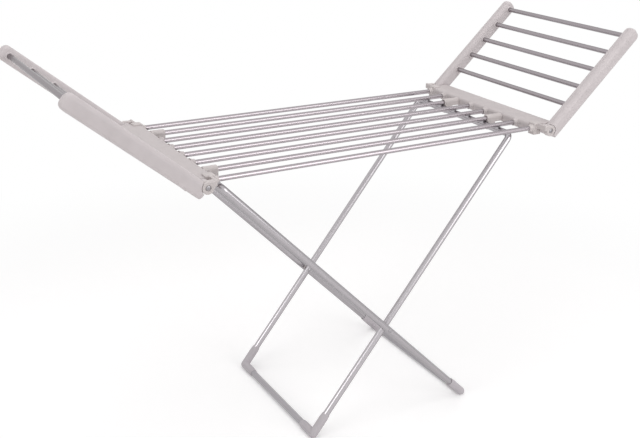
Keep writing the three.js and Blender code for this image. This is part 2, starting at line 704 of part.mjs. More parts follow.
// Rivet at the far crossing of the two frames, with the washer that keeps them apart.
function rivet() {
  const reach = LEG_DIAMETER / 2 + FIT_GAP;
  const innerFace = INNER_LEG_Y - reach;
  const outerFace = outerLegY + reach;
  const innerTip = innerFace - RIVET_HEAD_THICKNESS;
  const outerTip = outerFace + RIVET_HEAD_THICKNESS;
  const shank = RIVET_DIAMETER / 2;
  const head = RIVET_HEAD_DIAMETER / 2;
  const washerRadius = WASHER_DIAMETER / 2;
  const { x, z } = crossing;
  return rodY(x, innerTip, outerTip, z, shank)
    .add(rodY(x, innerTip, innerFace, z, shank, head))
    .add(rodY(x, outerFace, outerTip, z, head, shank))
    .add(rodY(x, INNER_LEG_Y + reach, outerLegY - reach, z, washerRadius));
}

// Assembly

function buildPanel(panel) {
  for (let index = 0; index < BAR_COUNT; index++) {
    addMesh(panel, "centre_bar_" + (index + 1), centreBar(index), "heatedBar");
  }
  const rightShell = crossbeamShell(RIGHT_BOSS_BARS);
  addMesh(panel, "crossbeam_housing_right", crossbeamHalf(rightShell, true), "housingPlastic");
  addMesh(panel, "crossbeam_cover_right", crossbeamHalf(rightShell, false), "housingPlastic");
  for (const [end, scale] of [["right", 1], ["left", -1]]) {
    const corners = new THREE.Group();
    corners.scale.x = scale;
    addPair(corners, "corner_joint_" + end, cornerJoint(), "jointPlastic");
    addPair(corners, "wing_hinge_pin_" + end, hingePin(), "steelPin");
    panel.add(corners);
  }
  const leftShell = crossbeamShell(LEFT_BOSS_BARS);
  const leftCover = crossbeamHalf(leftShell, false).subtract(glandHole());
  const leftEnd = new THREE.Group();
  leftEnd.scale.x = -1;
  addMesh(leftEnd, "crossbeam_housing_left", crossbeamHalf(leftShell, true), "housingPlastic");
  addMesh(leftEnd, "crossbeam_cover_left", leftCover, "housingPlastic");
  addPair(leftEnd, "leg_bearing_clip", bearingClip(), "jointPlastic");
  panel.add(leftEnd);
  addPair(panel, "leg_catch_clip", catchClip(), "jointPlastic");
  addMesh(panel, "cord_gland", cordGland(), "elbowPlastic");
  addMesh(panel, "heater_wire_centre", centreWire(), "wireSleeve");
}

function buildWing(wing, end) {
  for (let index = 0; index < WING_BAR_COUNT; index++) {
    addMesh(wing, "wing_bar_" + end + "_" + (index + 1), wingBar(index), "heatedBar");
  }
  addPair(wing, "wing_rail_outer_" + end, railOuter(), "railPlastic");
  addPair(wing, "wing_rail_inner_" + end, railInner(), "railPlastic");
  addMesh(wing, "heater_wire_" + end, wingWire(), "wireSleeve");
}

function buildFrame(frame, name, top, foot) {
  addPair(frame, name + "_leg", leg(top, foot), "legTube");
  addMesh(frame, name + "_top_tube", topTube(top), "legTube");
  addMesh(frame, name + "_floor_bar", floorBar(foot), "floorBar");
  addPair(frame, name + "_foot_elbow", elbow(top, foot), "elbowPlastic");
}

// A side group holds one wing, turned up about its hinge; the left one is mirrored.
function wingSide(end, scale, rise) {
  const wing = new THREE.Group();
  wing.position.set(hingeX, 0, hingeZ);
  wing.rotation.y = -THREE.MathUtils.degToRad(rise);
  buildWing(wing, end);
  const side = new THREE.Group();
  side.scale.x = scale;
  side.add(wing);
  return side;
}

function buildAirer() {
  const airer = new THREE.Group();
  buildPanel(airer);
  airer.add(wingSide("right", 1, RIGHT_WING_RISE));
  airer.add(wingSide("left", -1, LEFT_WING_RISE));
  buildFrame(airer, "inner_frame", innerTop, innerFoot);
  buildFrame(airer, "outer_frame", outerTop, outerFoot);
  addPair(airer, "crossing_rivet", rivet(), "steelPin");
  return airer;
}

// The origin stands under the middle of the whole airer, wings included.
const airer = buildAirer();
const extent = new THREE.Box3().setFromObject(airer, true);
airer.position.x = -(extent.min.x + extent.max.x) / 2;
const part = new THREE.Group();
part.add(airer);

export default part;
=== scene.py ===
"""Dressed model of a free-standing heated clothes airer, built on the frame of its solids."""

import math

import bmesh
import bpy
from bpy.props import FloatProperty, FloatVectorProperty, IntProperty, PointerProperty
from mathutils import Matrix, Vector


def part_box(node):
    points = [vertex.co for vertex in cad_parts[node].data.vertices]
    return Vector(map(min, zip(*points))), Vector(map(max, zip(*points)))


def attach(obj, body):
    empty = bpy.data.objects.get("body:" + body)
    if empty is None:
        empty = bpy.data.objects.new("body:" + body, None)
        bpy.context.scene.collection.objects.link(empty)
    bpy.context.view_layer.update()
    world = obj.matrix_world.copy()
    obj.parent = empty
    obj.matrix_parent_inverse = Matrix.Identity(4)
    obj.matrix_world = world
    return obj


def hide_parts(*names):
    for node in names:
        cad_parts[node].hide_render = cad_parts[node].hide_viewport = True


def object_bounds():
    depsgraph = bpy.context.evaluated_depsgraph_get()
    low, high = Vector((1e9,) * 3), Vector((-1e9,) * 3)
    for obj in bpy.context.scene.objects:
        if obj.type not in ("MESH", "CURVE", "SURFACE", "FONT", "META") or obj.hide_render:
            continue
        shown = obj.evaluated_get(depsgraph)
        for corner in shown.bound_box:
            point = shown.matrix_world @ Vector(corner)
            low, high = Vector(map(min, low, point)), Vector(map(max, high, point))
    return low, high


bl_info = {
    "name": "Heated clothes airer",
    "version": (1, 0, 0),
    "blender": (4, 5, 0),
    "location": "View3D > Sidebar > Airer",
    "description": "Builds the dressed model of a heated clothes airer on its frame",
    "category": "Object",
}

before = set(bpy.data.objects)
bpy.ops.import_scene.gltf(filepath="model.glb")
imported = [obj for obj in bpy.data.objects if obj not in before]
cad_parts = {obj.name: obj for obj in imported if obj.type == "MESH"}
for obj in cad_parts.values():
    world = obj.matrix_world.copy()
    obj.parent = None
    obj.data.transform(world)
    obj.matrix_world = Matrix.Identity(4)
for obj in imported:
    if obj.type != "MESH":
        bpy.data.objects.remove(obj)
SOLIDS_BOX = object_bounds()

# Places in millimetres, with X from the middle of the centre panel. What stands at several corners
# has its place at the far right one.
MM = 0.001
FIT = 0.3
SPLIT_GAP = 0.15
CORNERS = [(end, side) for end in ("right", "left") for side in ("far", "near")]
SIGN = {"right": 1, "left": -1, "far": 1, "near": -1}

# Centre panel
BAR_COUNT = 8
BAR_PITCH = 68
BAR_Z = 839
BAR_REACH = 526
# Painted shade factor of the centre bars; 1 leaves them as they are
BAR_PAINTED_SHADE = 1.0
OUTER_BAR_Y = 238
BEAM_INNER_X = 501
BEAM_OUTER_X = 580
BEAM_END_Y = 249
BEAM_LOW = 825.5
BEAM_HIGH = 852
BOSS_REACH = 11
BOSS_BARS = {"right": (1, 3, 4, 6), "left": (2, 3, 4, 5)}
SCREW_X = 548
SCREW_YS = (-204, -68, 68, 204)
GLAND_AT = (-540.5, 190)

# Corner joints and their hinges
JOINT_INNER_Y = 225
JOINT_OUTER_Y = 250
JOINT_END_X = 528
JOINT_LOW = 820
JOINT_HIGH = 855
SHOULDER_X = 511
SHOULDER_END_X = 519
SHOULDER_LOW = 838
ARM_INNER_Y = 267.65
ARM_HIGH = 853
HINGE_X = 535
HINGE_Z = 837
KNUCKLE_RADIUS = 16
PIN_BORE = 4.3
PIN_HEAD_Y = 282.4
PIN_SEAT_Y = 280.9
PIN_SEAT_RADIUS = 7.6

# Wings, along X from the hinge
WING_RISE = {"right": 43, "left": 39.5}
WING_BAR_COUNT = 5
WING_BAR_FIRST = 103
WING_BAR_DROP = -13.5
WING_BAR_REACH = 266.5
# Painted shade: the wing bars are drawn darker as a whole, for the darker surroundings they reflect
WING_BAR_PAINTED_SHADE = 0.88
RAIL_INNER_Y = 251
RAIL_OUTER_Y = 284
RAIL_SPLIT_Y = 267.5
RAIL_LOW = -34
RAIL_HIGH = 7
RAIL_LENGTH = 399
RAIL_HEEL = 3
RAIL_TIP = 15

# Leg frames and the clips that hold them
LEG_Y = {"inner": 218.5, "outer": 241}
# Painted shade: the outer frame's tubes are drawn darker as a whole, for the shade they stand in
LEG_PAINTED_SHADE = {"inner": 1.0, "outer": 0.92}
TOP_X = {"inner": 441, "outer": -485}
TOP_Z = {"inner": 821.5, "outer": 818}
TOP_JOINT_INSET = 39.5
FOOT_X = {"inner": -195, "outer": 324.5}
FOOT_Z = 11.5
CROSSING = (33.02, 301.9)
RIVET_OUTER_Y = 250.6
RIVET_INNER_Y = 208.9
WASHER_Y = 228.3
ELBOW_RADIUS = 12.5
ELBOW_LIP_RADIUS = 11.2
ELBOW_TAPER = 13
ELBOW_ARMS = (68, 62)
TUBE_STOP = 11.5
CLIP_HALF = 11
CLIP_HIGH = 849.5
BEARING_START = 461.7
BEARING_Y = 170
BEARING_RADIUS = 13.3
CATCH_START = 445
CATCH_Y = 102
CATCH_SLEEVE_LOW = 828.5
CATCH_LOW = 807.1

bar_low, bar_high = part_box("centre_bar_1")
TO_FRAME = Matrix.Translation(((bar_low.x + bar_high.x) / 2, 0, 0)) @ Matrix.Scale(MM, 4)


def linear(code):
    """Turns an sRGB hex colour into linear RGBA."""
    channels = [int(code[i : i + 2], 16) / 255 for i in (1, 3, 5)]
    return [c / 12.92 if c <= 0.04045 else ((c + 0.055) / 1.055) ** 2.4 for c in channels] + [1]


def length(label, description, default):
    limits = {"default": default, "min": 0.0001, "unit": "LENGTH", "subtype": "DISTANCE"}
    return FloatProperty(name=label, description=description, **limits)


def tint(label, description, code):
    limits = {"default": linear(code), "size": 4, "min": 0, "max": 1, "subtype": "COLOR"}
    return FloatVectorProperty(name=label, description=description, **limits)


class AirerSizes(bpy.types.PropertyGroup):
    bar_diameter: length("Bar diameter", "Outside of a heated bar of the centre panel", 0.0135)
    wing_bar_diameter: length("Wing bar diameter", "Outside of a heated bar of a wing", 0.014)
    tube_diameter: length("Tube diameter", "Outside of the leg tubes and floor bars", 0.019)
    tube_wall: length("Tube wall", "Wall of every tube", 0.001)
    bend_radius: length("Bend radius", "Bend atop each leg, on the tube's middle line", 0.018)
    moulding_wall: length("Moulding wall", "Wall of the hollow plastic mouldings", 0.0025)
    moulding_detail: length("Moulding detail", "Facet size of the small solid mouldings", 0.0008)
    tube_sides: IntProperty(
        name="Tube sides", description="Facets round a tube", default=40, min=8, max=128
    )


class AirerColours(bpy.types.PropertyGroup):
    rail: tint("Rails", "Moulded rails of the wings", "#c9c1c2")
    housing: tint("Crossbeams", "Housings and covers of the crossbeams", "#c3bbbb")
    joint: tint("Joints and clips", "Corner joints, leg clips", "#c8c0bf")
    elbow: tint("Foot elbows", "Elbows at the feet", "#bcb6ba")
    bar: tint("Heated bars", "Aluminium of the heated bars", "#d5ccd1")
    leg: tint("Leg tubes", "Painted steel of the legs", "#dcd7db")
    # Darker than the legs: partly painted shade, for the shade under the airer
    floor_bar: tint("Floor bars", "Painted steel of the floor bars", "#aaa6aa")
    pin: tint("Pins and screws", "Plated steel of the fastenings", "#9d9a9d")
    gland: tint("Cord gland", "Rubber of the cord gland", "#77757a")
    sleeve: tint("Wire sleeve", "Braided sleeve of the heater wires", "#e0dcd2")


# Nodes


def add_node(tree, kind, inputs=None, **settings):
    """Adds a node with its settings. Inputs are values, sockets, or nodes for their first output."""
    node = tree.nodes.new(kind)
    for name, value in settings.items():
        setattr(node, name, value)
    for key, value in (inputs or {}).items():
        if isinstance(value, bpy.types.Node):
            value = value.outputs[0]
        if isinstance(value, bpy.types.NodeSocket):
            tree.links.new(value, node.inputs[key])
        else:
            node.inputs[key].default_value = value
    return node


def calc(tree, operation, *values):
    """The result of a sum."""
    inputs = dict(enumerate(values))
    return add_node(tree, "ShaderNodeMath", inputs, operation=operation).outputs[0]


# Materials


def shader_of(name, **constants):
    """A new material's tree and shader, with the values that are the same all over."""
    material = bpy.data.materials.new(name)
    material.use_nodes = True
    shader = material.node_tree.nodes["Principled BSDF"]
    for key, value in constants.items():
        socket = key.replace("_", " ").title().replace("Ior", "IOR")
        shader.inputs[socket].default_value = value
    return material.node_tree, shader


def object_place(tree):
    return add_node(tree, "ShaderNodeTexCoord").outputs["Object"]


def attribute(tree, name, output="Fac"):
    """What a piece's mesh carries under a name."""
    return add_node(tree, "ShaderNodeAttribute", attribute_name=name).outputs[output]


def noise(tree, place, scale, detail=2.0):
    inputs = {"Vector": place, "Scale": scale, "Detail": detail}
    return add_node(tree, "ShaderNodeTexNoise", inputs).outputs["Fac"]


def between(tree, factor, low, high):
    """A pattern brought between two values."""
    inputs = {"Value": factor, "To Min": low, "To Max": high}
    return add_node(tree, "ShaderNodeMapRange", inputs).outputs[0]


def mixed(tree, factor, first, second):
    """A mix of two colours."""
    inputs = {0: factor, 6: first, 7: second}
    return add_node(tree, "ShaderNodeMix", inputs, data_type="RGBA").outputs[2]


def scaled(colour, factor):
    return [min(c * factor, 1) for c in colour[:3]] + [1]


def shades(tree, factor, colour, spread, low=0.3, high=0.7):
    """Moves a colour between two shades of itself, by a pattern that runs from low to high."""
    inputs = {"Value": factor, "From Min": low, "From Max": high}
    ramp = add_node(tree, "ShaderNodeMapRange", inputs)
    return mixed(tree, ramp, scaled(colour, 1 - spread), scaled(colour, 1 + spread))


def feed(tree, shader, colour, roughness, height, depth):
    """Links a colour, a roughness and a height to the shader. Depth is the height's, in metres."""
    bump = add_node(tree, "ShaderNodeBump", {"Height": height, "Distance": depth, "Strength": 1.0})
    tree.links.new(colour, shader.inputs["Base Color"])
    tree.links.new(roughness, shader.inputs["Roughness"])
    tree.links.new(bump.outputs["Normal"], shader.inputs["Normal"])


def moulded_plastic(name, colour, roughness):
    """Injection-moulded plastic: satin, with faint clouds, a spark-eroded grain and rubbed edges."""
    tree, shader = shader_of(name, metallic=0.0, ior=1.49)
    place = object_place(tree)
    # Flow clouds of about 30 mm, as the melt leaves them
    clouds = noise(tree, place, 33.0, 3.0)
    # The real grain is 0.1 mm; it is drawn at 1.2 mm so that it shows at all
    grain = noise(tree, place, 830.0)
    worn = attribute(tree, "edge")
    shade = mixed(tree, worn, shades(tree, clouds, colour, 0.035), scaled(colour, 1.12))
    gloss = between(tree, clouds, roughness - 0.06, roughness + 0.06)
    smoother = calc(tree, "MULTIPLY_ADD", worn, -0.12, gloss)
    feed(tree, shader, shade, smoother, grain, 0.000006)


def drawn_tube(name, colour, metallic, roughness, spread, clearness):
    """Drawn tube: lines along it, a random difference per tube, dulled by handling, painted shade by
    groups.
    """
    # The clear layer takes a little light, and more where it is seen at a slant
    layer = {"coat_weight": 1.0, "coat_ior": 1.1, "coat_roughness": 0.2}
    tree, shader = shader_of(name, metallic=metallic, coat_tint=(clearness,) * 3 + (1,), **layer)
    seed = attribute(tree, "seed")
    # Along the tube the lines are a hundred times as long as they are wide
    slow = calc(tree, "MULTIPLY", attribute(tree, "run"), 0.01)
    apart = calc(tree, "MULTIPLY_ADD", seed, 0.37, slow)
    shift = add_node(tree, "ShaderNodeCombineXYZ", {2: apart})
    ring = attribute(tree, "ring", "Vector")
    place = add_node(tree, "ShaderNodeVectorMath", {0: ring, 1: shift}, operation="ADD")
    # Die lines, 0.1 mm on a real tube, drawn 1.3 mm wide to show
    lines = noise(tree, place, 750.0, 3.0)
    chance = add_node(tree, "ShaderNodeTexWhiteNoise", {"W": seed}, noise_dimensions="1D")
    blend = add_node(tree, "ShaderNodeMix", {0: 0.25, 2: lines, 3: chance.outputs["Value"]})
    shade = shades(tree, blend, colour, spread, 0.25, 0.75)
    # Painted shade: the wings' bars and the outer frame's tubes are made darker as a whole, for the
    # darker light they get
    tone = {0: shade, "Scale": attribute(tree, "tone")}
    with_painted_shade = add_node(tree, "ShaderNodeVectorMath", tone, operation="SCALE")
    smudges = noise(tree, object_place(tree), 22.0, 4.0)
    gloss = between(tree, smudges, roughness - 0.04, roughness + 0.06)
    feed(tree, shader, with_painted_shade.outputs[0], gloss, lines, 0.000002)


def plated_steel(name, colour):
    """Zinc-plated steel: a small spangle in the plating, dulled in patches."""
    tree, shader = shader_of(name, metallic=1.0)
    place = object_place(tree)
    spangle = add_node(tree, "ShaderNodeTexVoronoi", {"Vector": place, "Scale": 900.0})
    dulling = noise(tree, place, 260.0, 3.0)
    shade = shades(tree, spangle.outputs["Distance"], colour, 0.08, 0.0, 0.6)
    feed(tree, shader, shade, between(tree, dulling, 0.25, 0.5), dulling, 0.00002)


def moulded_rubber(name, colour):
    """Moulded rubber: matt, with a bloom that clouds it."""
    tree, shader = shader_of(name, metallic=0.0, ior=1.52)
    place = object_place(tree)
    bloom = noise(tree, place, 180.0, 4.0)
    pores = noise(tree, place, 1400.0)
    shade = shades(tree, bloom, colour, 0.12)
    feed(tree, shader, shade, between(tree, bloom, 0.65, 0.85), pores, 0.00005)


def braided_sleeve(name, colour):
    """Braided glass-fibre sleeve: two sets of 0.8 mm strands that cross on a slant."""
    tree, shader = shader_of(name, metallic=0.0)
    place = object_place(tree)
    strands = []
    for slant in (0.785, -0.785):
        turned_place = {"Vector": place, "Rotation": (slant, slant, slant)}
        across = {"Vector": add_node(tree, "ShaderNodeMapping", turned_place), "Scale": 400.0}
        strands.append(add_node(tree, "ShaderNodeTexWave", across).outputs["Fac"])
    weave = calc(tree, "MAXIMUM", *strands)
    shade = shades(tree, weave, colour, 0.1, 0.0, 1.0)
    feed(tree, shader, shade, between(tree, weave, 0.6, 0.75), weave, 0.0002)


# What makes each slot's finish, its colour, and what else that takes
FINISHES = {
    "rail_plastic": (moulded_plastic, "rail", 0.5),
    "housing_plastic": (moulded_plastic, "housing", 0.52),
    "joint_plastic": (moulded_plastic, "joint", 0.45),
    "elbow_plastic": (moulded_plastic, "elbow", 0.6),
    # Satin-anodised aluminium: a soft bright line along its middle, darker where it turns away
    "heated_bar": (drawn_tube, "bar", 1.0, 0.26, 0.03, 0.7),
    # Silver lacquer over drawn steel: brighter, with a narrow highlight
    "leg_tube": (drawn_tube, "leg", 0.9, 0.24, 0.03, 0.71),
    # The same lacquer rubbed dull by the floor; its darker grey is partly painted shade, for the
    # shade under the airer
    "floor_bar": (drawn_tube, "floor_bar", 0.3, 0.45, 0.06, 1.0),
    "steel_pin": (plated_steel, "pin"),
    "gland_rubber": (moulded_rubber, "gland"),
    "wire_sleeve": (braided_sleeve, "sleeve"),
}


def finish_of(slot):
    """The finish of a slot. The slot's own name is taken by the frame's plain material."""
    name = slot + "_finish"
    if name not in bpy.data.materials:
        maker, colour, *rest = FINISHES[slot]
        maker(name, getattr(bpy.context.scene.airer_colours, colour), *rest)
    return bpy.data.materials[name]


# Shapes, drawn in millimetres


def skin(bm, rings, endless=False):
    """A skin over rings of points, with a flat face at each end unless it is endless."""
    loops = [[bm.verts.new(point) for point in ring] for ring in rings]
    for a, b in zip(loops, loops[1:] + loops[:endless]):
        for i in range(len(a)):
            j = (i + 1) % len(a)
            bm.faces.new((a[i], a[j], b[j], b[i]))
    if not endless:
        bm.faces.new(loops[0])
        bm.faces.new(loops[-1])


def rounded_ring(u0, u1, v0, v1, radii):
    """Points round a rectangle, whose corners have four radii, from the low left one round."""
    corners = [(u0, v0, 1, 1), (u1, v0, -1, 1), (u1, v1, -1, -1), (u0, v1, 1, -1)]
    steps = 8
    points = []
    for quarter, ((u, v, du, dv), r) in enumerate(zip(corners, radii)):
        for step in range(steps + 1):
            angle = math.pi * (1 + (quarter + step / steps) / 2)
            points.append((u + r * (du + math.cos(angle)), v + r * (dv + math.sin(angle))))
    return points


def soft_ends(start, end):
    """Places along a piece with eased ends, each with what its section is smaller by there."""
    ease = ((0, 1), (0.3, 0.4), (1, 0))
    return [(start + a, inset) for a, inset in ease] + [(end - a, inset) for a, inset in ease[::-1]]


def turned(bm, profile, start, axis, across=None, sweep=math.tau, steps=48):
    """Turns a closed profile of (along, radius) points about an axis, all or part of the way."""
    axis = Vector(axis).normalized()
    across = Vector(across) if across else axis.orthogonal().normalized()
    up = axis.cross(across)
    whole = sweep == math.tau
    rings = []
    for i in range(steps if whole else steps + 1):
        angle = sweep * i / steps
        spoke = across * math.cos(angle) + up * math.sin(angle)
        rings.append([Vector(start) + axis * a + spoke * r for a, r in profile])
    skin(bm, rings, endless=whole)


def rod(bm, start, end, radius, end_radius=None, ease=0.0):
    """A round rod between two points, with its end edges eased by a small round."""
    start, end = Vector(start), Vector(end)
    far = end_radius or radius
    span = (end - start).length
    angles = [math.pi / 6 * step for step in range(1, 4 if ease else 1)]
    arc = [(ease * (1 - math.cos(angle)), ease * (1 - math.sin(angle))) for angle in angles]
    profile = [(0, 0), (0, radius - ease), *((a, radius - r) for a, r in arc)]
    profile += [*((span - a, far - r) for a, r in arc[::-1]), (span, far - ease), (span, 0)]
    turned(bm, profile, start, end - start)


def rounded_block(bm, low, high, radius=0.0):
    """A block between two corners, with its edges rounded."""
    low, high = Vector(low), Vector(high)
    place = Matrix.Translation((low + high) / 2) @ Matrix.Diagonal((*(high - low), 1))
    made = bmesh.ops.create_cube(bm, size=1, matrix=place)["verts"]
    edges = {edge for vert in made for edge in vert.link_edges}
    if radius:
        bmesh.ops.bevel(
            bm, geom=list(edges), offset=radius, segments=4, profile=0.5, affect="EDGES"
        )


def bore_of(diameter, fit=FIT):
    """The radius in millimetres of a hole for a tube, from the tube's diameter in metres."""
    return diameter / MM / 2 + fit


def closed(bm):
    """Merges doubles and turns the faces of a closed shape outwards."""
    bmesh.ops.remove_doubles(bm, verts=bm.verts, dist=0.001)
    bmesh.ops.recalc_face_normals(bm, faces=bm.faces)
    return bm


def half(bm, point, normal):
    """Cuts a shape at a plane, keeps the side away from the normal and leaves it open."""
    geometry = bm.verts[:] + bm.edges[:] + bm.faces[:]
    bmesh.ops.bisect_plane(bm, geom=geometry, plane_co=point, plane_no=normal, clear_outer=True)
    return bm


def take_in(bm, part):
    """Adds a closed part to a shape."""
    mesh = bpy.data.meshes.new("part")
    closed(part).to_mesh(mesh)
    part.free()
    bm.from_mesh(mesh)
    bpy.data.meshes.remove(mesh)


def shape_object(bm):
    mesh = bpy.data.meshes.new("shape")
    bm.to_mesh(mesh)
    bm.free()
    obj = bpy.data.objects.new("shape", mesh)
    bpy.context.scene.collection.objects.link(obj)
    return obj


def drop(obj):
    mesh = obj.data
    bpy.data.objects.remove(obj)
    bpy.data.meshes.remove(mesh)


def add_modifier(obj, kind, **settings):
    modifier = obj.modifiers.new(kind, kind)
    for key, value in settings.items():
        setattr(modifier, key, value)
    return modifier


def evaluated(obj):
    """The mesh that an object's modifiers make."""
    bpy.context.view_layer.update()
    graph = bpy.context.evaluated_depsgraph_get()
    return bpy.data.meshes.new_from_object(obj.evaluated_get(graph), depsgraph=graph)


def modified(bm, *steps):
    """Runs modifiers on a shape and gives the result back as a shape."""
    obj = shape_object(bm)
    for kind, settings in steps:
        add_modifier(obj, kind, **settings)
    mesh = evaluated(obj)
    result = bmesh.new()
    result.from_mesh(mesh)
    bpy.data.meshes.remove(mesh)
    drop(obj)
    return result


def walled(bm):
    """Gives an open skin the moulding's wall, on its inside."""
    wall = bpy.context.scene.airer_sizes.moulding_wall / MM
    return modified(bm, ("SOLIDIFY", {"thickness": wall, "offset": -1, "use_even_offset": True}))


def cut_by(bm, cutter, *more):
    """Takes a cutter out of a shape, and runs more modifiers on the result."""
    tool = shape_object(closed(cutter))
    cut = {"object": tool, "operation": "DIFFERENCE", "solver": "EXACT", "use_self": True}
    result = modified(bm, ("BOOLEAN", cut), *more)
    drop(tool)
    return result


def moulded(solids, cutter):
    """One smooth moulding from overlapping solids: joined, cut, and eased along its edges."""
    detail = bpy.context.scene.airer_sizes.moulding_detail / MM
    remesh = ("REMESH", {"mode": "VOXEL", "voxel_size": detail})
    ease = ("SMOOTH", {"factor": 0.5, "iterations": 3})
    return mark_edges(cut_by(closed(solids), cutter, remesh, ease))


def mark_edges(bm):
    """Stores how sharply a moulding's outside turns, for the rubbed look of its edges."""
    layer = bm.verts.layers.float.new("edge")
    for edge in bm.edges:
        if edge.is_manifold and edge.is_convex:
            turn = edge.calc_face_angle(0) / max(edge.calc_length(), 0.3)
            worn = min(max((turn - 0.25) / 0.6, 0), 1)
            for vert in edge.verts:
                vert[layer] = max(vert[layer], worn)
    return bm


def mirrored(end, side):
    """Turns a place drawn at the far right corner into the one at another corner."""
    return Matrix.Diagonal((SIGN[end], SIGN[side], 1, 1))


def wing_place(end, side):
    """From a wing's own axes, with X along its rails, to the airer's."""
    turn = Matrix.Rotation(-math.radians(WING_RISE[end]), 4, "Y")
    return mirrored(end, side) @ Matrix.Translation((HINGE_X, 0, HINGE_Z)) @ turn


def settle(obj, name, body, nodes, slot, angle=40):
    """Names a finished piece, shades it, gives it its material and puts it on its body."""
    obj.name = obj.data.name = name
    obj.data.shade_smooth()
    obj.data.set_sharp_from_angle(angle=math.radians(angle))
    obj.data.materials.clear()
    obj.data.materials.append(finish_of(slot))
    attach(obj, body)
    if nodes:
        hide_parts(*nodes)


def add_piece(name, bm, place, body, nodes, slot, angle=40):
    """Takes a shape from millimetres to its place in the frame, inside the box of the solids."""
    whole = TO_FRAME @ place
    bm.transform(whole)
    if whole.determinant() < 0:
        bmesh.ops.reverse_faces(bm, faces=bm.faces)
    low, high = SOLIDS_BOX
    for vert in bm.verts:
        vert.co = [min(max(c, a), b) for c, a, b in zip(vert.co, low, high)]
    settle(shape_object(bm), name, body, nodes, slot, angle)


def add_moulding(node, bm, place, body, slot):
    """A moulding that stands for one node."""
    add_piece(node + "_moulding", bm, place, body, [node], slot)


# Geometry Nodes trees


def new_tree(inputs):
    tree = bpy.data.node_groups.new("tree", "GeometryNodeTree")
    tree.is_modifier = True
    for way in ("INPUT", "OUTPUT"):
        tree.interface.new_socket("Geometry", in_out=way, socket_type="NodeSocketGeometry")
    for label, kind in inputs.items():
        tree.interface.new_socket(label, in_out="INPUT", socket_type="NodeSocket" + kind)
    return tree, add_node(tree, "NodeGroupInput").outputs


def end_tree(tree, given, geometry):
    """Ends a tree in real geometry with its material."""
    real = add_node(tree, "GeometryNodeRealizeInstances", {"Geometry": geometry})
    smooth = add_node(tree, "GeometryNodeSetShadeSmooth", {"Geometry": real})
    inputs = {"Geometry": smooth, "Material": given["Material"]}
    dressed = add_node(tree, "GeometryNodeSetMaterial", inputs)
    add_node(tree, "NodeGroupOutput", {"Geometry": dressed})
    return tree


def stored(tree, geometry, name, value, kind="FLOAT"):
    """Keeps a value on the geometry under a name that the materials read."""
    inputs = {"Geometry": geometry, "Name": name, "Value": value}
    settings = {"data_type": kind, "domain": "POINT"}
    return add_node(tree, "GeometryNodeStoreNamedAttribute", inputs, **settings).outputs[0]


def instances(tree, points, shape, **more):
    inputs = {"Points": points, "Instance": shape, **more}
    return add_node(tree, "GeometryNodeInstanceOnPoints", inputs)


TUBE_INPUTS = {"Diameter": "Float", "Sides": "Int", "Tone": "Float", "Material": "Material"}
FASTENING_SIZES = ("Head Diameter", "Head Height", "Shank Diameter", "Shank Length")
FASTENING_INPUTS = (*FASTENING_SIZES, "Cross Recess")


def tube_skin(tree, given, path):
    """The skin of a round tube along a path, which carries its places round and along the tube."""
    radius = calc(tree, "MULTIPLY", given["Diameter"], 0.5)
    inputs = {"Resolution": given["Sides"], "Radius": radius}
    circle = add_node(tree, "GeometryNodeCurvePrimitiveCircle", inputs)
    position = add_node(tree, "GeometryNodeInputPosition").outputs[0]
    along = add_node(tree, "GeometryNodeSplineParameter").outputs["Length"]
    ring = stored(tree, circle, "ring", position, "FLOAT_VECTOR")
    path = stored(tree, path, "run", along)
    return add_node(tree, "GeometryNodeCurveToMesh", {"Curve": path, "Profile Curve": ring})


def tube_row_tree():
    """Equal straight tubes side by side."""
    row = {"Count": "Int", "Start": "Vector", "Run": "Vector", "Step": "Vector"}
    tree, given = new_tree({**row, **TUBE_INPUTS})
    line = add_node(tree, "GeometryNodeCurvePrimitiveLine", {"End": given["Run"]})
    tube = tube_skin(tree, given, line)
    inputs = {"Count": given["Count"], "Start Location": given["Start"], "Offset": given["Step"]}
    points = add_node(tree, "GeometryNodeMeshLine", inputs)
    points = stored(tree, points, "seed", add_node(tree, "GeometryNodeInputIndex").outputs[0])
    # The row's painted shade, which the material darkens it by
    points = stored(tree, points, "tone", given["Tone"])
    return end_tree(tree, given, instances(tree, points, tube))


def bent_tube_tree():
    """A tube along the edges of the base mesh, bent at its corners."""
    tree, given = new_tree({"Bend Radius": "Float", "Seed": "Float", **TUBE_INPUTS})
    path = add_node(tree, "GeometryNodeMeshToCurve", {"Mesh": given["Geometry"]})
    inputs = {"Curve": path, "Count": 14, "Radius": given["Bend Radius"]}
    bent = add_node(tree, "GeometryNodeFilletCurve", inputs, mode="POLY")
    # The tube's painted shade, which the material darkens it by
    with_painted_shade = stored(tree, tube_skin(tree, given, bent), "tone", given["Tone"])
    return end_tree(tree, given, stored(tree, with_painted_shade, "seed", given["Seed"]))


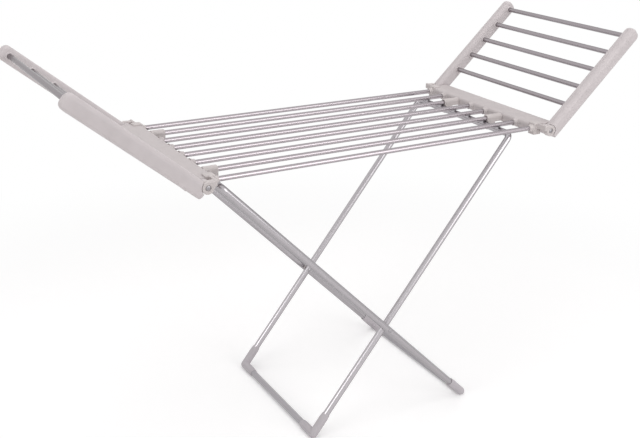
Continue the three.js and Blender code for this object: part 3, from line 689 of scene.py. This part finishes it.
def fastening_tree():
    """A domed head with its shank at each point of the base mesh, facing as that point says."""
    kinds = {"Cross Recess": "Bool", "Material": "Material"}
    tree, given = new_tree({**dict.fromkeys(FASTENING_SIZES, "Float"), **kinds})
    width, height = given["Head Diameter"], given["Head Height"]

    def moved(shape, key, x, y, z):
        amount = add_node(tree, "ShaderNodeCombineXYZ", {0: x, 1: y, 2: z})
        return add_node(tree, "GeometryNodeTransform", {"Geometry": shape, key: amount})

    radius = calc(tree, "MULTIPLY", width, 0.5)
    sphere = {"Segments": 28, "Rings": 14, "Radius": 1.0}
    ball = add_node(tree, "GeometryNodeMeshUVSphere", sphere)
    dome = moved(ball, "Scale", radius, radius, height)
    blade, edge = calc(tree, "MULTIPLY", width, 0.55), calc(tree, "MULTIPLY", width, 0.12)
    slots = []
    for x, y in ((blade, edge), (edge, blade)):
        size = add_node(tree, "ShaderNodeCombineXYZ", {0: x, 1: y, 2: height})
        cube = add_node(tree, "GeometryNodeMeshCube", {"Size": size})
        slots.append(moved(cube, "Translation", 0.0, 0.0, height))
    cut = {"operation": "DIFFERENCE", "solver": "EXACT"}
    inputs = {"Mesh 1": dome, "Mesh 2": slots[0]}
    recessed = add_node(tree, "GeometryNodeMeshBoolean", inputs, **cut)
    tree.links.new(slots[1].outputs[0], recessed.inputs["Mesh 2"])
    inputs = {"Switch": given["Cross Recess"], "False": dome, "True": recessed}
    head = add_node(tree, "GeometryNodeSwitch", inputs, input_type="GEOMETRY")
    depth = given["Shank Length"]
    radius = calc(tree, "MULTIPLY", given["Shank Diameter"], 0.5)
    inputs = {"Vertices": 24, "Radius": radius, "Depth": depth}
    shank = add_node(tree, "GeometryNodeMeshCylinder", inputs)
    sunk = moved(shank, "Translation", 0.0, 0.0, calc(tree, "MULTIPLY", depth, -0.5))
    joined = add_node(tree, "GeometryNodeJoinGeometry", {"Geometry": sunk})
    tree.links.new(head.outputs[0], joined.inputs[0])
    name = {"Name": "facing"}
    facing = add_node(tree, "GeometryNodeInputNamedAttribute", name, data_type="FLOAT_VECTOR")
    turn = add_node(tree, "FunctionNodeAlignRotationToVector", {"Vector": facing}, axis="Z")
    return end_tree(tree, given, instances(tree, given["Geometry"], joined, Rotation=turn))


def tree_of(maker):
    """The tree that a maker builds, made once."""
    if maker.__name__ not in bpy.data.node_groups:
        maker().name = maker.__name__
    return bpy.data.node_groups[maker.__name__]


def grow(name, base, maker, inputs, body, nodes, slot, wall=0.0, angle=40):
    """Runs a tree on a base mesh in the frame's metres, and keeps the result as a plain piece."""
    tree = tree_of(maker)
    obj = shape_object(base)
    modifier = add_modifier(obj, "NODES", node_group=tree)
    for label, value in {**inputs, "Material": finish_of(slot)}.items():
        modifier[tree.interface.items_tree[label].identifier] = value
    if wall:
        add_modifier(obj, "SOLIDIFY", thickness=wall, offset=-1, use_even_offset=True)
    mesh, bare = evaluated(obj), obj.data
    obj.modifiers.clear()
    obj.data = mesh
    bpy.data.meshes.remove(bare)
    settle(obj, name, body, nodes, slot, angle)


def grow_bars(name, stem, count, start, run, step, diameter, tone, body):
    """A row of heated bars, one for each node of a stem."""
    sizes = bpy.context.scene.airer_sizes
    inputs = {"Count": count, "Start": start, "Run": run, "Step": step, "Tone": tone}
    inputs.update({"Diameter": diameter, "Sides": sizes.tube_sides})
    nodes = [f"{stem}_{i + 1}" for i in range(count)]
    grow(name, bmesh.new(), tube_row_tree, inputs, body, nodes, "heated_bar", sizes.tube_wall)


def grow_fastenings(name, places, values, body, nodes, angle=40):
    """Fastenings at (point, facing) pairs in millimetres."""
    bm = bmesh.new()
    layer = bm.verts.layers.float_vector.new("facing")
    for point, facing in places:
        bm.verts.new(TO_FRAME @ Vector(point))[layer] = Vector(facing)
    inputs = dict(zip(FASTENING_INPUTS, values))
    grow(name, bm, fastening_tree, inputs, body, nodes, "steel_pin", angle=angle)


def route(points):
    """A base mesh for a bent tube from corner points in millimetres."""
    bm = bmesh.new()
    verts = [bm.verts.new(TO_FRAME @ Vector(point)) for point in points]
    for a, b in zip(verts, verts[1:]):
        bm.edges.new((a, b))
    return bm


# Pieces


class AIRER_OT_centre_bars(bpy.types.Operator):
    """Make the eight heated bars of the centre panel"""

    bl_idname = "airer.centre_bars"
    bl_label = "Centre bars"

    def execute(self, context):
        start = TO_FRAME @ Vector((-BAR_REACH, -OUTER_BAR_Y, BAR_Z))
        run, step = (2 * BAR_REACH * MM, 0.0, 0.0), (0.0, BAR_PITCH * MM, 0.0)
        bar = (context.scene.airer_sizes.bar_diameter, BAR_PAINTED_SHADE)
        grow_bars("centre_bars", "centre_bar", BAR_COUNT, start, run, step, *bar, "panel")
        return {"FINISHED"}


class AIRER_OT_wing_bars(bpy.types.Operator):
    """Make the five heated bars of each wing"""

    bl_idname = "airer.wing_bars"
    bl_label = "Wing bars"

    def execute(self, context):
        bar = (context.scene.airer_sizes.wing_bar_diameter, WING_BAR_PAINTED_SHADE)
        run = (0.0, 2 * WING_BAR_REACH * MM, 0.0)
        for end in ("right", "left"):
            name, stem = "wing_bars_" + end, "wing_bar_" + end
            place = TO_FRAME @ wing_place(end, "far")
            start = place @ Vector((WING_BAR_FIRST, -WING_BAR_REACH, WING_BAR_DROP))
            step = place.to_3x3() @ Vector((BAR_PITCH, 0, 0))
            grow_bars(name, stem, WING_BAR_COUNT, start, run, step, *bar, end + "_wing")
        return {"FINISHED"}


def beam_skin():
    """The outside of a crossbeam: a long pad with soft edges and a slightly crowned top."""
    bm = bmesh.new()
    rings = []
    middle = (BEAM_INNER_X + BEAM_OUTER_X) / 2
    for y, inset in soft_ends(-BEAM_END_Y, BEAM_END_Y):
        xs = BEAM_INNER_X + inset, BEAM_OUTER_X - inset
        ring = []
        for x, z in rounded_ring(*xs, BEAM_LOW + inset, BEAM_HIGH - inset, (3, 3, 11, 8)):
            crown = ((x - middle) / (BEAM_OUTER_X - middle)) ** 2 if z > BAR_Z else 0
            ring.append((x, y, z - crown))
        rings.append(ring)
    skin(bm, rings)
    return closed(bm)


def beam_cutter(bore):
    """What the bars and the corner joints take out of a crossbeam."""
    bm = bmesh.new()
    for index in range(BAR_COUNT):
        y = index * BAR_PITCH - OUTER_BAR_Y
        rod(bm, (BEAM_INNER_X - 5, y, BAR_Z), (BEAM_INNER_X + 6, y, BAR_Z), bore)
    for side in (1, -1):
        ys = sorted((side * (JOINT_INNER_Y - FIT), side * (BEAM_END_Y + 6)))
        rounded_block(bm, (BEAM_INNER_X - 8, ys[0], 815), (JOINT_END_X + FIT, ys[1], 870))
    return bm


def boss(bm, y, facing, bore):
    """Half of the collar round a bar: a tapered sleeve that flares where it meets the crossbeam."""
    profile = [(0, bore), (0, 8.6), (0.4, 9.1), (1.2, 9.5), (5, 9.9), (8, 10.6), (9.8, 11.5)]
    profile += [(11, 12.4), (13, 12.8), (13, bore)]
    start = (BEAM_INNER_X - BOSS_REACH, y, BAR_Z - facing * SPLIT_GAP)
    part = bmesh.new()
    turned(part, profile, start, (1, 0, 0), (0, -facing, 0), math.pi, 28)
    # The flare keeps within the crossbeam's own height
    for vert in part.verts:
        vert.co.z = max(vert.co.z, BEAM_LOW + 0.3)
    take_in(bm, part)


class AIRER_OT_crossbeams(bpy.types.Operator):
    """Make the housing and cover of each crossbeam, with the collars of its bars"""

    bl_idname = "airer.crossbeams"
    bl_label = "Crossbeams"

    def execute(self, context):
        bore = bore_of(context.scene.airer_sizes.bar_diameter)
        for part, facing in (("housing", -1), ("cover", 1)):
            split = (0, 0, BAR_Z - facing * SPLIT_GAP)
            for end in ("right", "left"):
                shell = half(beam_skin(), split, (0, 0, facing))
                shell = cut_by(walled(shell), beam_cutter(bore))
                for index in BOSS_BARS[end]:
                    boss(shell, index * BAR_PITCH - OUTER_BAR_Y, facing, bore)
                name = f"crossbeam_{part}_{end}"
                add_moulding(name, shell, mirrored(end, "far"), "panel", "housing_plastic")
        return {"FINISHED"}


class AIRER_OT_corner_joints(bpy.types.Operator):
    """Make the four corner joints, each with its collar, block and fixed hinge knuckle"""

    bl_idname = "airer.corner_joints"
    bl_label = "Corner joints"

    def execute(self, context):
        bore = bore_of(context.scene.airer_sizes.bar_diameter)

        def on_bar(x):
            return (x, OUTER_BAR_Y, BAR_Z)

        def on_hinge(y):
            return (HINGE_X, y, HINGE_Z)

        # The block over the bar's end, the shoulder beside it and the arm to the knuckle
        blocks = (
            ((BEAM_INNER_X, JOINT_END_X), (JOINT_INNER_Y, JOINT_OUTER_Y), (JOINT_LOW, JOINT_HIGH)),
            ((SHOULDER_X, SHOULDER_END_X), (OUTER_BAR_Y, RAIL_OUTER_Y), (SHOULDER_LOW, JOINT_HIGH)),
            ((SHOULDER_X, HINGE_X), (ARM_INNER_Y, RAIL_OUTER_Y), (SHOULDER_LOW, ARM_HIGH)),
        )
        for end, side in CORNERS:
            solids, cutter = bmesh.new(), bmesh.new()
            for spans, radius in zip(blocks, (2.5, 3, 3)):
                rounded_block(solids, *zip(*spans), radius)
            rod(solids, on_hinge(ARM_INNER_Y), on_hinge(RAIL_OUTER_Y), KNUCKLE_RADIUS, ease=1.8)
            root = on_bar(BEAM_INNER_X + 3)
            rod(solids, on_bar(BEAM_INNER_X - BOSS_REACH), root, 8.3, 10.2, ease=0.5)
            rod(solids, on_bar(BEAM_INNER_X - 3), root, 10.6, ease=1)
            rod(cutter, on_bar(480), on_bar(540), bore)
            rod(cutter, on_hinge(260), on_hinge(290), PIN_BORE)
            rod(cutter, on_hinge(PIN_SEAT_Y), on_hinge(290), PIN_SEAT_RADIUS)
            shape, place = moulded(solids, cutter), mirrored(end, side)
            add_moulding(f"corner_joint_{end}_{side}", shape, place, "panel", "joint_plastic")
        return {"FINISHED"}


def rail_skin():
    """The outside of a wing rail along X: soft edges all round, a domed tip and a square heel."""
    stations = []
    for angle in (0, 0.4, 0.8, 1.2, math.pi / 2):
        inset = RAIL_HEEL * (1 - math.sin(angle))
        stations.append((RAIL_HEEL * (1 - math.cos(angle)), inset, 0))
    straight = RAIL_LENGTH - RAIL_HEEL - RAIL_TIP
    stations += [(step * straight / 8 + RAIL_HEEL, 0, 0) for step in range(1, 8)]
    for step in range(11):
        angle = math.pi / 2 * (1 - step / 10)
        # The tip is domed more in its height than in its width
        dome_n, dome_y = RAIL_TIP * (1 - math.sin(angle)), 10 * (1 - math.sin(angle))
        stations.append((RAIL_LENGTH - RAIL_TIP * (1 - math.cos(angle)), dome_n, dome_y))
    rings = []
    for along, inset_n, inset_y in stations:
        y0, y1 = RAIL_INNER_Y + inset_y, RAIL_OUTER_Y - inset_y
        n0, n1 = RAIL_LOW + inset_n, RAIL_HIGH - inset_n
        top = min(12 - inset_n / 2, (y1 - y0) / 2 - 0.3, (n1 - n0) / 2 - 0.3)
        foot = min(9 - inset_n / 2, top)
        ring = rounded_ring(y0, y1, n0, n1, (foot, foot, top, top))
        rings.append([(along, y, n) for y, n in ring])
    bm = bmesh.new()
    skin(bm, rings)
    return closed(bm)


class AIRER_OT_wing_rails(bpy.types.Operator):
    """Make the outer and inner half of each wing rail, with the hinge lug and the bars' seats"""

    bl_idname = "airer.wing_rails"
    bl_label = "Wing rails"

    def execute(self, context):
        seat = bore_of(context.scene.airer_sizes.wing_bar_diameter)
        collar = [(0, seat), (0, 9), (0.3, 9.5), (0.8, 9.76), (1.6, 10.1), (2.2, 10.9)]
        collar += [(2.6, 12), (4, 12), (4, seat)]
        for end, side in CORNERS:
            place, body = wing_place(end, side), end + "_wing"
            outer = half(rail_skin(), (0, RAIL_SPLIT_Y + SPLIT_GAP, 0), (0, -1, 0))
            knuckle = bmesh.new()
            rod(knuckle, (0, 240, 0), (0, 300, 0), KNUCKLE_RADIUS + 1.3)
            outer = cut_by(walled(outer), knuckle)
            add_moulding(f"wing_rail_outer_{end}_{side}", outer, place, body, "rail_plastic")
            split = (0, RAIL_SPLIT_Y - SPLIT_GAP, 0)
            inner = walled(half(rail_skin(), split, (0, 1, 0)))
            extra = bmesh.new()
            rod(extra, (0, RAIL_INNER_Y, 0), split, 14, ease=1)
            for index in range(WING_BAR_COUNT):
                along = WING_BAR_FIRST + index * BAR_PITCH
                turned(extra, collar, (along, RAIL_INNER_Y - 2.5, WING_BAR_DROP), (0, 1, 0))
            take_in(inner, extra)
            add_moulding(f"wing_rail_inner_{end}_{side}", inner, place, body, "rail_plastic")
        return {"FINISHED"}


def clip_sleeve(bm, start, y, low):
    """A clip's sleeve along its bar, up to the crossbeam, with its two upper edges rounded."""
    rings = []
    for x, inset in soft_ends(start, BEAM_INNER_X - FIT):
        ys = y - CLIP_HALF + inset, y + CLIP_HALF - inset
        ring = rounded_ring(*ys, low + inset, CLIP_HIGH - inset, (2, 2, 9, 9))
        rings.append([(x, *point) for point in ring])
    skin(bm, rings)


class AIRER_OT_leg_clips(bpy.types.Operator):
    """Make the clips under the bars, two with a bearing for the outer frame, two with a hook"""

    bl_idname = "airer.leg_clips"
    bl_label = "Leg clips"

    def execute(self, context):
        sizes = context.scene.airer_sizes
        bore = bore_of(sizes.bar_diameter)
        for side in ("far", "near"):
            solids, cutter = bmesh.new(), bmesh.new()
            x, y, z = -TOP_X["outer"], BEARING_Y, TOP_Z["outer"]
            clip_sleeve(solids, BEARING_START, y, z)
            rod(solids, (x, y - CLIP_HALF, z), (x, y + CLIP_HALF, z), BEARING_RADIUS, ease=1.5)
            rod(cutter, (440, y, BAR_Z), (520, y, BAR_Z), bore)
            rod(cutter, (x, y - 20, z), (x, y + 20, z), bore_of(sizes.tube_diameter))
            shape, place = moulded(solids, cutter), mirrored("left", side)
            add_moulding("leg_bearing_clip_" + side, shape, place, "panel", "joint_plastic")
            solids, cutter = bmesh.new(), bmesh.new()
            x, y, z = TOP_X["inner"], CATCH_Y, TOP_Z["inner"]
            clip_sleeve(solids, CATCH_START, y, CATCH_SLEEVE_LOW)
            hook = (CATCH_START, y - CLIP_HALF, CATCH_LOW), (475, y + CLIP_HALF, 840)
            rounded_block(solids, *hook, 2.5)
            rod(cutter, (420, y, BAR_Z), (520, y, BAR_Z), bore)
            rod(cutter, (x, y - 22, z), (x, y + 18, z), bore_of(sizes.tube_diameter, 1))
            shape, place = moulded(solids, cutter), mirrored("right", side)
            add_moulding("leg_catch_clip_" + side, shape, place, "panel", "joint_plastic")
        return {"FINISHED"}


class AIRER_OT_leg_frames(bpy.types.Operator):
    """Make the bent legs, top tubes and floor bars of the two leg frames"""

    bl_idname = "airer.leg_frames"
    bl_label = "Leg frames"

    def execute(self, context):
        sizes = context.scene.airer_sizes
        inputs = {
            "Diameter": sizes.tube_diameter,
            "Sides": sizes.tube_sides,
            "Bend Radius": sizes.bend_radius,
        }
        seed = 0.0
        for which in ("inner", "outer"):
            stem, body = which + "_frame_", which + "_frame"
            y, x, z = LEG_Y[which], TOP_X[which], TOP_Z[which]
            foot = Vector((FOOT_X[which], y, FOOT_Z))
            start = foot + (Vector((x, y, z)) - foot).normalized() * TUBE_STOP
            joint_y = y - TOP_JOINT_INSET
            floor_y = y - TUBE_STOP
            runs = {
                "leg_far": [start, (x, y, z), (x, joint_y, z)],
                "leg_near": [(start.x, -y, start.z), (x, -y, z), (x, -joint_y, z)],
                "top_tube": [(x, FIT - joint_y, z), (x, joint_y - FIT, z)],
                "floor_bar": [(foot.x, -floor_y, FOOT_Z), (foot.x, floor_y, FOOT_Z)],
            }
            for name, points in runs.items():
                inputs.update({"Seed": seed, "Tone": LEG_PAINTED_SHADE[which]})
                seed += 1.0
                node, base = stem + name, route(points)
                slot = "floor_bar" if name == "floor_bar" else "leg_tube"
                wall = sizes.tube_wall
                grow(node + "_tube", base, bent_tube_tree, inputs, body, [node], slot, wall)
        return {"FINISHED"}


class AIRER_OT_foot_elbows(bpy.types.Operator):
    """Make the four elbows that join the legs to the floor bars and stand on the floor"""

    bl_idname = "airer.foot_elbows"
    bl_label = "Foot elbows"

    def execute(self, context):
        socket = bore_of(context.scene.airer_sizes.tube_diameter)
        for which in ("inner", "outer"):
            foot = Vector((FOOT_X[which], LEG_Y[which], FOOT_Z))
            up = (Vector((TOP_X[which], LEG_Y[which], TOP_Z[which])) - foot).normalized()
            ball = {"radius": ELBOW_RADIUS, "matrix": Matrix.Translation(foot)}
            for side in ("far", "near"):
                solids, cutter = bmesh.new(), bmesh.new()
                for way, reach in zip((up, Vector((0, -1, 0))), ELBOW_ARMS):
                    taper, lip = reach - ELBOW_TAPER, foot + way * reach
                    rod(solids, foot, foot + way * taper, ELBOW_RADIUS)
                    taper_start = foot + way * (taper - 1)
                    rod(solids, taper_start, lip, ELBOW_RADIUS, ELBOW_LIP_RADIUS, ease=0.6)
                    rod(cutter, foot + way * TUBE_STOP, foot + way * (reach + 5), socket)
                bmesh.ops.create_uvsphere(solids, u_segments=40, v_segments=20, **ball)
                rounded_block(cutter, foot - Vector((90, 90, 60)), foot + Vector((90, 90, -FOOT_Z)))
                name, body = f"{which}_frame_foot_elbow_{side}", which + "_frame"
                shape, place = moulded(solids, cutter), mirrored("right", side)
                add_moulding(name, shape, place, body, "elbow_plastic")
        return {"FINISHED"}


class AIRER_OT_fastenings(bpy.types.Operator):
    """Make the hinge pins, the rivets at the leg crossings and the screws of the covers"""

    bl_idname = "airer.fastenings"
    bl_label = "Pins, rivets and screws"

    def execute(self, context):
        signs = [(SIGN[end], SIGN[side]) for end, side in CORNERS]
        heads = [((x * HINGE_X, y * PIN_HEAD_Y, HINGE_Z), (0, y, 0)) for x, y in signs]
        nodes = [f"wing_hinge_pin_{end}_{side}" for end, side in CORNERS]
        pin = (0.012, 0.0013, 0.008, 0.0384, True)
        grow_fastenings("wing_hinge_pins", heads, pin, "panel", nodes, angle=25)
        x, z = CROSSING
        heads = []
        washers = bmesh.new()
        ring = [(0, 3.1), (0, 7.1), (0.4, 7.5), (2.5, 7.5), (2.9, 7.1), (2.9, 3.1)]
        for side in (1, -1):
            heads.append(((x, side * RIVET_OUTER_Y, z), (0, side, 0)))
            heads.append(((x, side * RIVET_INNER_Y, z), (0, -side, 0)))
            turned(washers, ring, (x, side * WASHER_Y, z), (0, side, 0))
        nodes = ["crossing_rivet_far", "crossing_rivet_near"]
        rivet = (0.012, 0.0022, 0.006, 0.021, False)
        grow_fastenings("crossing_rivets", heads, rivet, "outer_frame", nodes)
        body, slot = "outer_frame", "joint_plastic"
        add_piece("crossing_washers", closed(washers), Matrix(), body, (), slot, angle=25)
        places = [(end * SCREW_X, y, BEAM_LOW + 0.2) for end in (1, -1) for y in SCREW_YS]
        heads = [(place, (0, 0, -1)) for place in places]
        screw = (0.007, 0.0016, 0.0035, 0.008, True)
        grow_fastenings("cover_screws", heads, screw, "panel", (), angle=25)
        return {"FINISHED"}


class AIRER_OT_cord_gland(bpy.types.Operator):
    """Make the ribbed gland under the left crossbeam, and dress the heater wires inside the bars"""

    bl_idname = "airer.cord_gland"
    bl_label = "Cord gland and heater wires"

    def execute(self, context):
        profile = [(-2.8, 3.5), (-2.8, 6.2), (0, 6.2), (0.3, 9.4), (0.8, 9.9)]
        for rib in range(3):
            top = 1.6 + rib * 3.4
            radius = 9.6 - rib * 1.0
            profile += [(top, radius), (top + 0.6, radius - 1.6), (top + 2.2, radius - 1.8)]
            profile += [(top + 2.8, radius - 0.7)]
        profile += [(12, 6.4), (12.4, 6.0), (12.4, 3.5)]
        bm = bmesh.new()
        turned(bm, profile, (*GLAND_AT, BEAM_LOW - 0.25), (0, 0, -1))
        nodes, slot = ["cord_gland"], "gland_rubber"
        add_piece("cord_gland_grommet", closed(bm), Matrix(), "panel", nodes, slot)
        for part in ("centre", "right", "left"):
            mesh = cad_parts["heater_wire_" + part].data
            mesh.materials.clear()
            mesh.materials.append(finish_of("wire_sleeve"))
        return {"FINISHED"}


# Stage


def add_lamp(name, place, size, power, in_gloss=True):
    """A square soft box that faces the airer. One that isn't in gloss leaves no highlight."""
    data = bpy.data.lights.new(name, "AREA")
    data.shape = "SQUARE"
    data.size = size
    data.energy = power
    obj = bpy.data.objects.new(name, data)
    obj.visible_glossy = in_gloss
    bpy.context.scene.collection.objects.link(obj)
    away = Vector(place) - Vector((0, 0, 0.75))
    obj.matrix_world = Matrix.Translation(place) @ away.to_track_quat("Z", "Y").to_matrix().to_4x4()


def seen_rays(tree):
    """One for rays from the camera, off gloss or through glass, and nothing for other rays."""
    path = add_node(tree, "ShaderNodeLightPath").outputs
    seen = calc(tree, "MAXIMUM", path["Is Camera Ray"], path["Is Glossy Ray"])
    return calc(tree, "MAXIMUM", seen, path["Is Transmission Ray"])


def blank_tree(owner):
    owner.use_nodes = True
    owner.node_tree.nodes.clear()
    return owner.node_tree


def paper_floor():
    """Matt white paper that keeps the shadow near the airer and is plain white further off."""
    material = bpy.data.materials.new("matt_white_paper_sweep")
    tree = blank_tree(material)
    away = {0: object_place(tree)}
    reach = add_node(tree, "ShaderNodeVectorMath", away, operation="LENGTH").outputs["Value"]
    inputs = {"Value": reach, "From Min": 0.9, "From Max": 2.2}
    fade = add_node(tree, "ShaderNodeMapRange", inputs, interpolation_type="SMOOTHSTEP")
    paper = add_node(tree, "ShaderNodeBsdfDiffuse", {"Color": linear("#f4f3f3")})
    lift = add_node(tree, "ShaderNodeEmission", {"Strength": 0.22})
    plain = add_node(tree, "ShaderNodeEmission", {"Strength": 1.0})
    near = add_node(tree, "ShaderNodeAddShader", {0: paper, 1: lift})
    swept = add_node(tree, "ShaderNodeMixShader", {0: fade, 1: near, 2: plain})
    shown = add_node(tree, "ShaderNodeMixShader", {0: seen_rays(tree), 1: paper, 2: swept})
    add_node(tree, "ShaderNodeOutputMaterial", {0: shown})
    return material


def studio_world(ambient):
    """Soft even light from all round, behind which plain white shows."""
    world = bpy.data.worlds.new("soft_white_studio")
    tree = blank_tree(world)
    white = {"Color": (1, 1, 1, 1)}
    soft = add_node(tree, "ShaderNodeBackground", {"Strength": ambient, **white})
    plain = add_node(tree, "ShaderNodeBackground", {"Strength": 1.0, **white})
    shown = add_node(tree, "ShaderNodeMixShader", {0: seen_rays(tree), 1: soft, 2: plain})
    add_node(tree, "ShaderNodeOutputWorld", {0: shown})
    bpy.context.scene.world = world


def add_camera():
    """The camera that took in the whole airer from its near left, a little above the bars."""
    yaw, pitch, roll = (math.radians(a) for a in (31.39, 21.85, 1.62))
    flat = math.cos(pitch)
    forward = Vector((math.sin(yaw) * flat, math.cos(yaw) * flat, -math.sin(pitch)))
    level = Vector((math.cos(yaw), -math.sin(yaw), 0))
    up = level.cross(forward)
    right = level * math.cos(roll) + up * math.sin(roll)
    up = right.cross(forward)
    data = bpy.data.cameras.new("camera")
    data.sensor_width = 36
    data.lens = 52.0
    obj = bpy.data.objects.new("camera", data)
    turn = Matrix((right, up, -forward)).transposed().to_4x4()
    obj.matrix_world = Matrix.Translation((-1.3491, -2.1263, 1.5714)) @ turn
    bpy.context.scene.collection.objects.link(obj)
    bpy.context.scene.camera = obj


class AIRER_OT_stage(bpy.types.Operator):
    """Set up the paper floor, the soft light and the camera"""

    bl_idname = "airer.stage"
    bl_label = "Floor, light and camera"

    def execute(self, context):
        bm = bmesh.new()
        bmesh.ops.create_grid(bm, x_segments=24, y_segments=24, size=14)
        floor = shape_object(bm)
        floor.name = floor.data.name = "paper_floor"
        floor.data.materials.append(paper_floor())
        studio_world(0.37)
        add_lamp("key", (1.1, -3.1, 1.7), 2.6, 44)
        add_lamp("side", (-3.3, -0.7, 1.5), 1.5, 22)
        add_lamp("top", (0, 0.2, 4.3), 5.0, 105, in_gloss=False)
        add_camera()
        context.scene.view_settings.view_transform = "Standard"
        return {"FINISHED"}


STEPS = (
    AIRER_OT_centre_bars,
    AIRER_OT_wing_bars,
    AIRER_OT_crossbeams,
    AIRER_OT_corner_joints,
    AIRER_OT_wing_rails,
    AIRER_OT_leg_clips,
    AIRER_OT_leg_frames,
    AIRER_OT_foot_elbows,
    AIRER_OT_fastenings,
    AIRER_OT_cord_gland,
    AIRER_OT_stage,
)


class AIRER_PT_build(bpy.types.Panel):
    bl_idname = "AIRER_PT_build"
    bl_label = "Heated clothes airer"
    bl_space_type = "VIEW_3D"
    bl_region_type = "UI"
    bl_category = "Airer"

    def draw(self, context):
        for group in (context.scene.airer_sizes, context.scene.airer_colours):
            box = self.layout.box()
            for name in group.__annotations__:
                box.prop(group, name)
        for step in STEPS:
            self.layout.operator(step.bl_idname)


CLASSES = (AirerSizes, AirerColours, *STEPS, AIRER_PT_build)


def register():
    for cls in CLASSES:
        bpy.utils.register_class(cls)
    bpy.types.Scene.airer_sizes = PointerProperty(type=AirerSizes)
    bpy.types.Scene.airer_colours = PointerProperty(type=AirerColours)


def unregister():
    del bpy.types.Scene.airer_colours
    del bpy.types.Scene.airer_sizes
    for cls in reversed(CLASSES):
        bpy.utils.unregister_class(cls)


def main():
    register()
    for step in STEPS:
        group, name = step.bl_idname.split(".")
        getattr(getattr(bpy.ops, group), name)()


if __name__ == "__main__":
    main()
